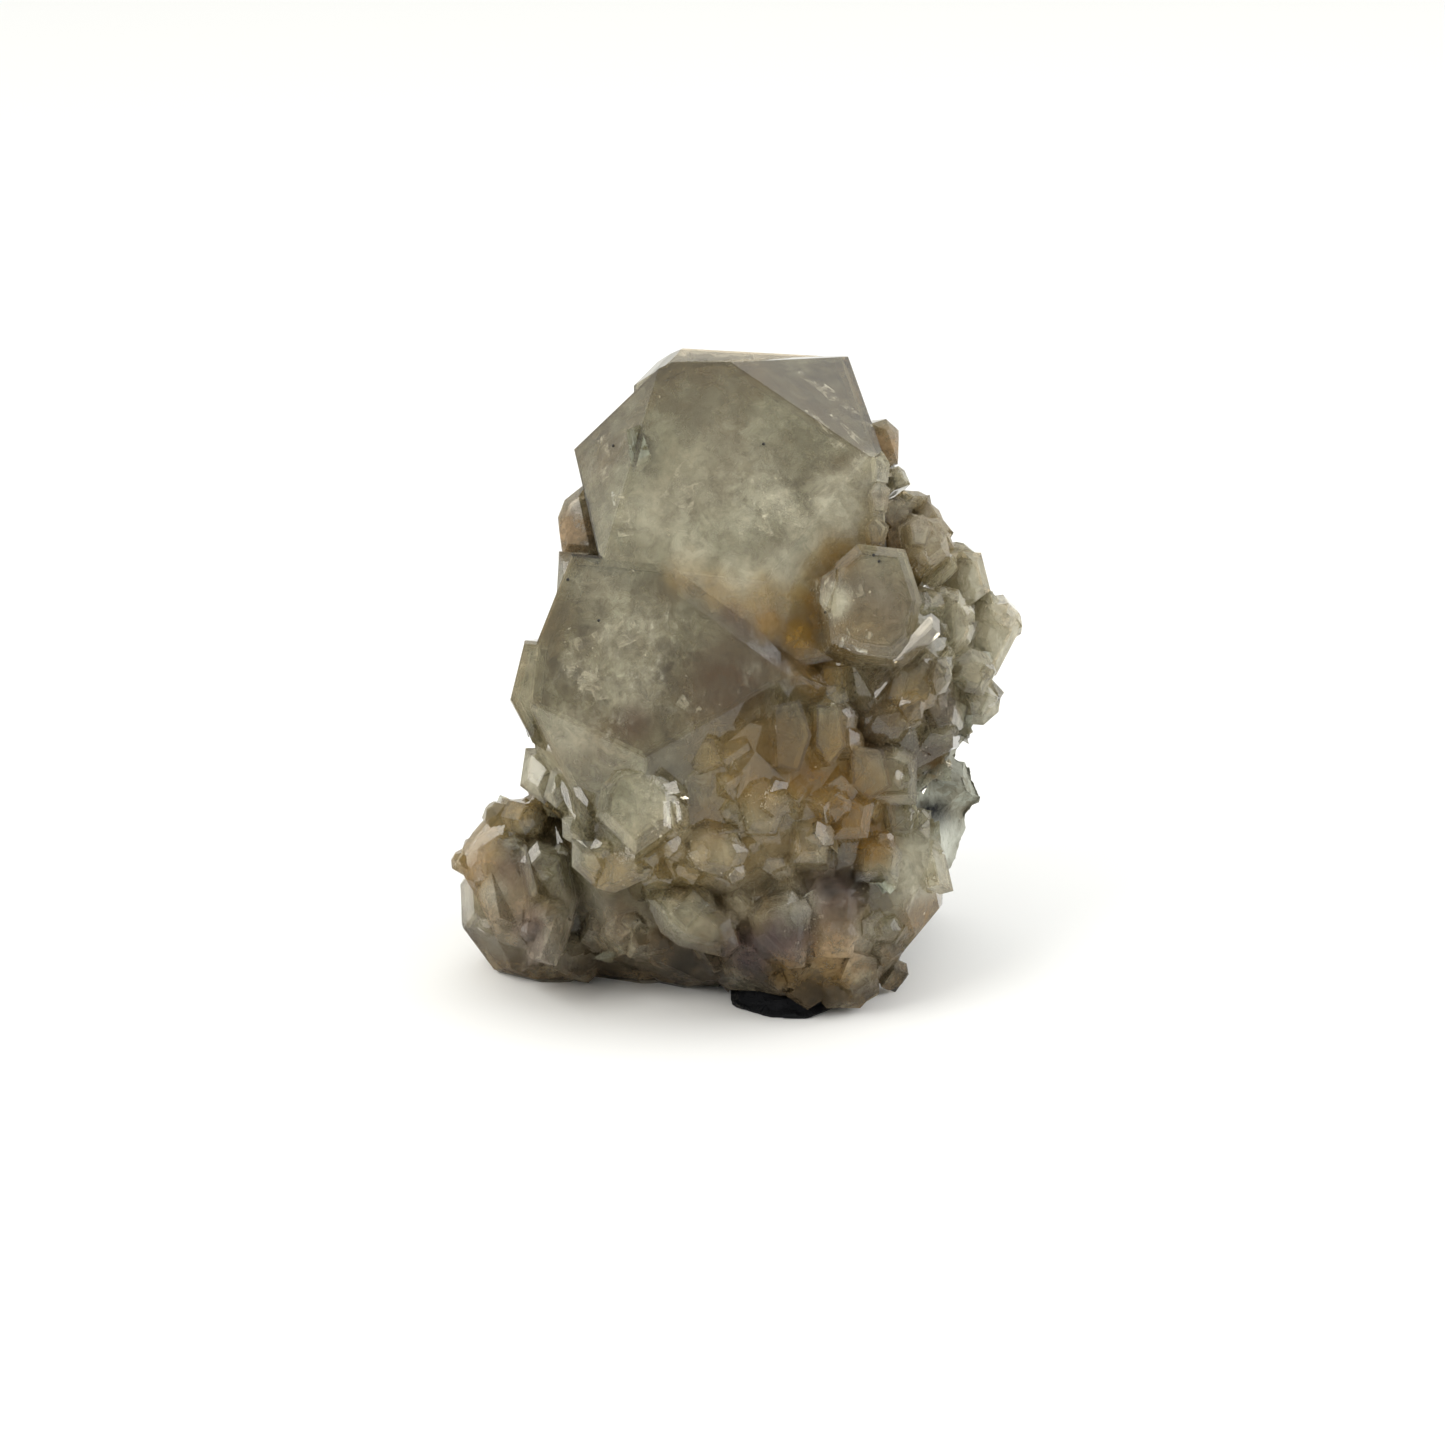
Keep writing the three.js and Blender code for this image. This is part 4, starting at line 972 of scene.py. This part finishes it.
def make_skin(crystals, surface):
    """The stained skin: a copy of the crystals' surface just outside it, kept only where there is stain."""
    outside_by = 0.06 * MM
    skin = placed("stained_skin", inset_copy(crystals, -outside_by))
    skin.data.materials.append(stained_skin())
    paint(skin, {"film": FILM, **{stain: STAINS[stain] for stain in SKIN_STAINS}}, surface)
    shape = bmesh.new()
    shape.from_mesh(skin.data)
    film = shape.verts.layers.float["film"]
    foot_top = 7 * MM
    foot_fade = 6 * MM
    most_at_foot = 0.8
    for corner in shape.verts:
        low = min(max((foot_top - corner.co.z) / foot_fade, 0), 1)
        corner[film] = max(corner[film], most_at_foot * low)
    least = 0.03
    clean = [face for face in shape.faces if max(corner[film] for corner in face.verts) < least]
    bmesh.ops.delete(shape, geom=clean, context="FACES")
    shape.to_mesh(skin.data)
    shape.free()
    return skin


def healed_crack():
    """Healed cracks in quartz: wisps of tiny bubbles in a sheet, pale and broken up."""
    material, tree, places = new_look("healed crack")
    wisps = add(
        tree,
        "ShaderNodeTexNoise",
        {"Vector": places, "Scale": 700.0, "Detail": 6.0, "Roughness": 0.65, "Distortion": 0.8},
    )
    cover = add(
        tree,
        "ShaderNodeMapRange",
        {"Value": wisps, "From Min": 0.46, "From Max": 0.66, "To Min": 0.0, "To Max": 0.8},
    )
    shader = add(
        tree,
        "ShaderNodeBsdfPrincipled",
        {"Base Color": colour("#dcdccf"), "Roughness": 0.45, "Alpha": cover},
    )
    add(tree, "ShaderNodeOutputMaterial", {"Surface": shader})
    return material


def fleck_tree():
    """Small thin flakes scattered just under a surface, most where it is milky."""
    tree, inside, outside = new_tree("bubble films", "Density", "Least", "Most", "Scatter", "Seed")
    milk = add(tree, "GeometryNodeInputNamedAttribute", {"Name": "flecks"}, data_type="FLOAT")
    some = add(tree, "ShaderNodeMath", {0: milk, 1: 0.006}, operation="ADD")
    density = add(tree, "ShaderNodeMath", {0: some, 1: inside["Density"]}, operation="MULTIPLY")
    points = add(
        tree,
        "GeometryNodeDistributePointsOnFaces",
        {"Mesh": inside["Geometry"], "Density": density, "Seed": inside["Seed"]},
        distribute_method="RANDOM",
    )
    shift = add(
        tree,
        "FunctionNodeRandomValue",
        {"Min": (-1, -1, -1), "Max": (1, 1, 1), "Seed": inside["Seed"]},
        data_type="FLOAT_VECTOR",
    )
    away = add(tree, "ShaderNodeVectorMath", {0: shift, "Scale": inside["Scatter"]}, operation="SCALE")
    scattered = add(tree, "GeometryNodeSetPosition", {"Geometry": points, "Offset": away})
    flake = add(
        tree, "GeometryNodeMeshCylinder", {"Vertices": 5, "Radius": 0.5, "Depth": 0.05}, fill_type="NGON"
    )
    turn = add(
        tree,
        "FunctionNodeRandomValue",
        {"Min": (0, 0, 0), "Max": (6.28, 6.28, 6.28), "Seed": inside["Seed"]},
        data_type="FLOAT_VECTOR",
    )
    width = add(
        tree,
        "FunctionNodeRandomValue",
        {"Min": inside["Least"], "Max": inside["Most"], "Seed": inside["Seed"]},
        data_type="FLOAT",
    )
    stretch = add(
        tree, "FunctionNodeRandomValue", {"Min": (0.3, 0.3, 1), "Max": (1, 1, 1)}, data_type="FLOAT_VECTOR"
    )
    scale = add(tree, "ShaderNodeVectorMath", {0: stretch, "Scale": width}, operation="SCALE")
    height = add(tree, "ShaderNodeSeparateXYZ", {0: add(tree, "GeometryNodeInputPosition")})
    clear_of_floor = add(
        tree, "FunctionNodeCompare", {0: height.outputs["Z"], 1: 1.5 * MM}, operation="GREATER_THAN"
    )
    flakes = add(
        tree,
        "GeometryNodeInstanceOnPoints",
        {
            "Points": scattered,
            "Selection": clear_of_floor,
            "Instance": flake,
            "Rotation": turn,
            "Scale": scale,
        },
    )
    # Bubble films in quartz are small cracks that shine white where light meets the gas in them.
    films = plain_look("bubble films", "#e9e6da", 0.2)
    return finish_tree(tree, outside, flakes, films)


def make_quartz():
    solid = merged_copy(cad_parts["quartz_cluster"])
    plain_solid = solid.copy()
    surface = front_surface(solid)
    cracks = make_cracks(surface)
    specks = make_specks(surface)
    blades = make_blades(surface, BLADE_FACES, BLADE_FACING, proud=0.45 * MM)
    blades += make_blades(surface, RIDGE_FACES, RIDGE_FACING, proud=0.35 * MM)
    blades += make_blades(surface, DULL_FACES, DULL_FACING, proud=1.6 * MM)
    mark_crust(solid)
    widths = {"Least width": 2.2 * MM, "Most width": 4.8 * MM, "Spacing": 3.4 * MM, "Seed": 2}
    shell = grown(solid, "clear_crystals", crust_tree(blades), widths)
    for blade in blades:
        bpy.data.objects.remove(blade)
    veils = []
    for name, around, depth, clearest, thickest, sector_and_light_share in (
        ("outer_veil", shell.data, 0.3 * MM, 0.2, 0.5, 0.35),
        ("middle_veil", plain_solid, 1.1 * MM, 0.4, 0.8, 0.35),
    ):
        piece = placed(name, inset_copy(around, depth))
        words = name.replace("_", " ") + " quartz"
        piece.data.materials.append(cloudy_quartz(words, clearest, thickest, depth / MM, sector_and_light_share))
        veils.append(piece)
    heart_look = cloudy_quartz(
        "cloudy heart quartz", clearest=1.0, thickest=1.0, seed=2.6, sector_and_light_share=0.0
    )
    heart_sizes = {"Depth": 2.4 * MM, "Band": 4.0 * MM, "Voxel": 0.5 * MM}
    heart = grown(plain_solid, "cloudy_heart", inner_shell_tree(heart_look), heart_sizes)
    veils.append(heart)
    for piece in veils:
        paint(piece, STAINS, surface)
    fleck_sizes = {"Density": 5e6, "Least": 0.12 * MM, "Most": 0.5 * MM, "Scatter": 0.7 * MM, "Seed": 3}
    flecks = grown(veils[1].data, "flecks", fleck_tree(), fleck_sizes)
    skin = make_skin(shell.data, surface)
    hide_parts("quartz_cluster")
    for piece in [shell, skin, flecks, cracks, specks, *veils]:
        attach(piece, "root")


# The host rock's near-black and fresh pale places, as for the quartz.
DARK_ROCK = (
    (5, -3.5, 9, 1, 12), (-5, -4, 9, 1, 12), (21, 23, 3.2, 1, 10), (21.5, 16, 3, 0.8, 10),
)
PALE_ROCK = (
    (24, 12.5, 4.5, 0.9, 10), (25.5, 24, 3.5, 0.6, 8),
)


def make_rock():
    solid = merged_copy(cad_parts["matrix"])
    rock = grown(solid, "broken_host_rock", broken_rock_tree(), {"Voxel": 0.36 * MM, "Chip": -0.8 * MM})
    paint(rock, {"dark": DARK_ROCK, "pale": PALE_ROCK}, None)
    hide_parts("matrix")
    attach(rock, "root")


def set_render_quality():
    cycles = bpy.context.scene.cycles
    cycles.use_denoising = True
    cycles.max_bounces = 16
    cycles.diffuse_bounces = 2
    cycles.glossy_bounces = 4
    cycles.transmission_bounces = 12
    cycles.transparent_max_bounces = 16
    cycles.caustics_reflective = False
    cycles.caustics_refractive = False
    bpy.context.scene.view_settings.view_transform = "Standard"


make_camera()
make_floor()
light_the_studio()
make_quartz()
make_rock()
set_render_quality()
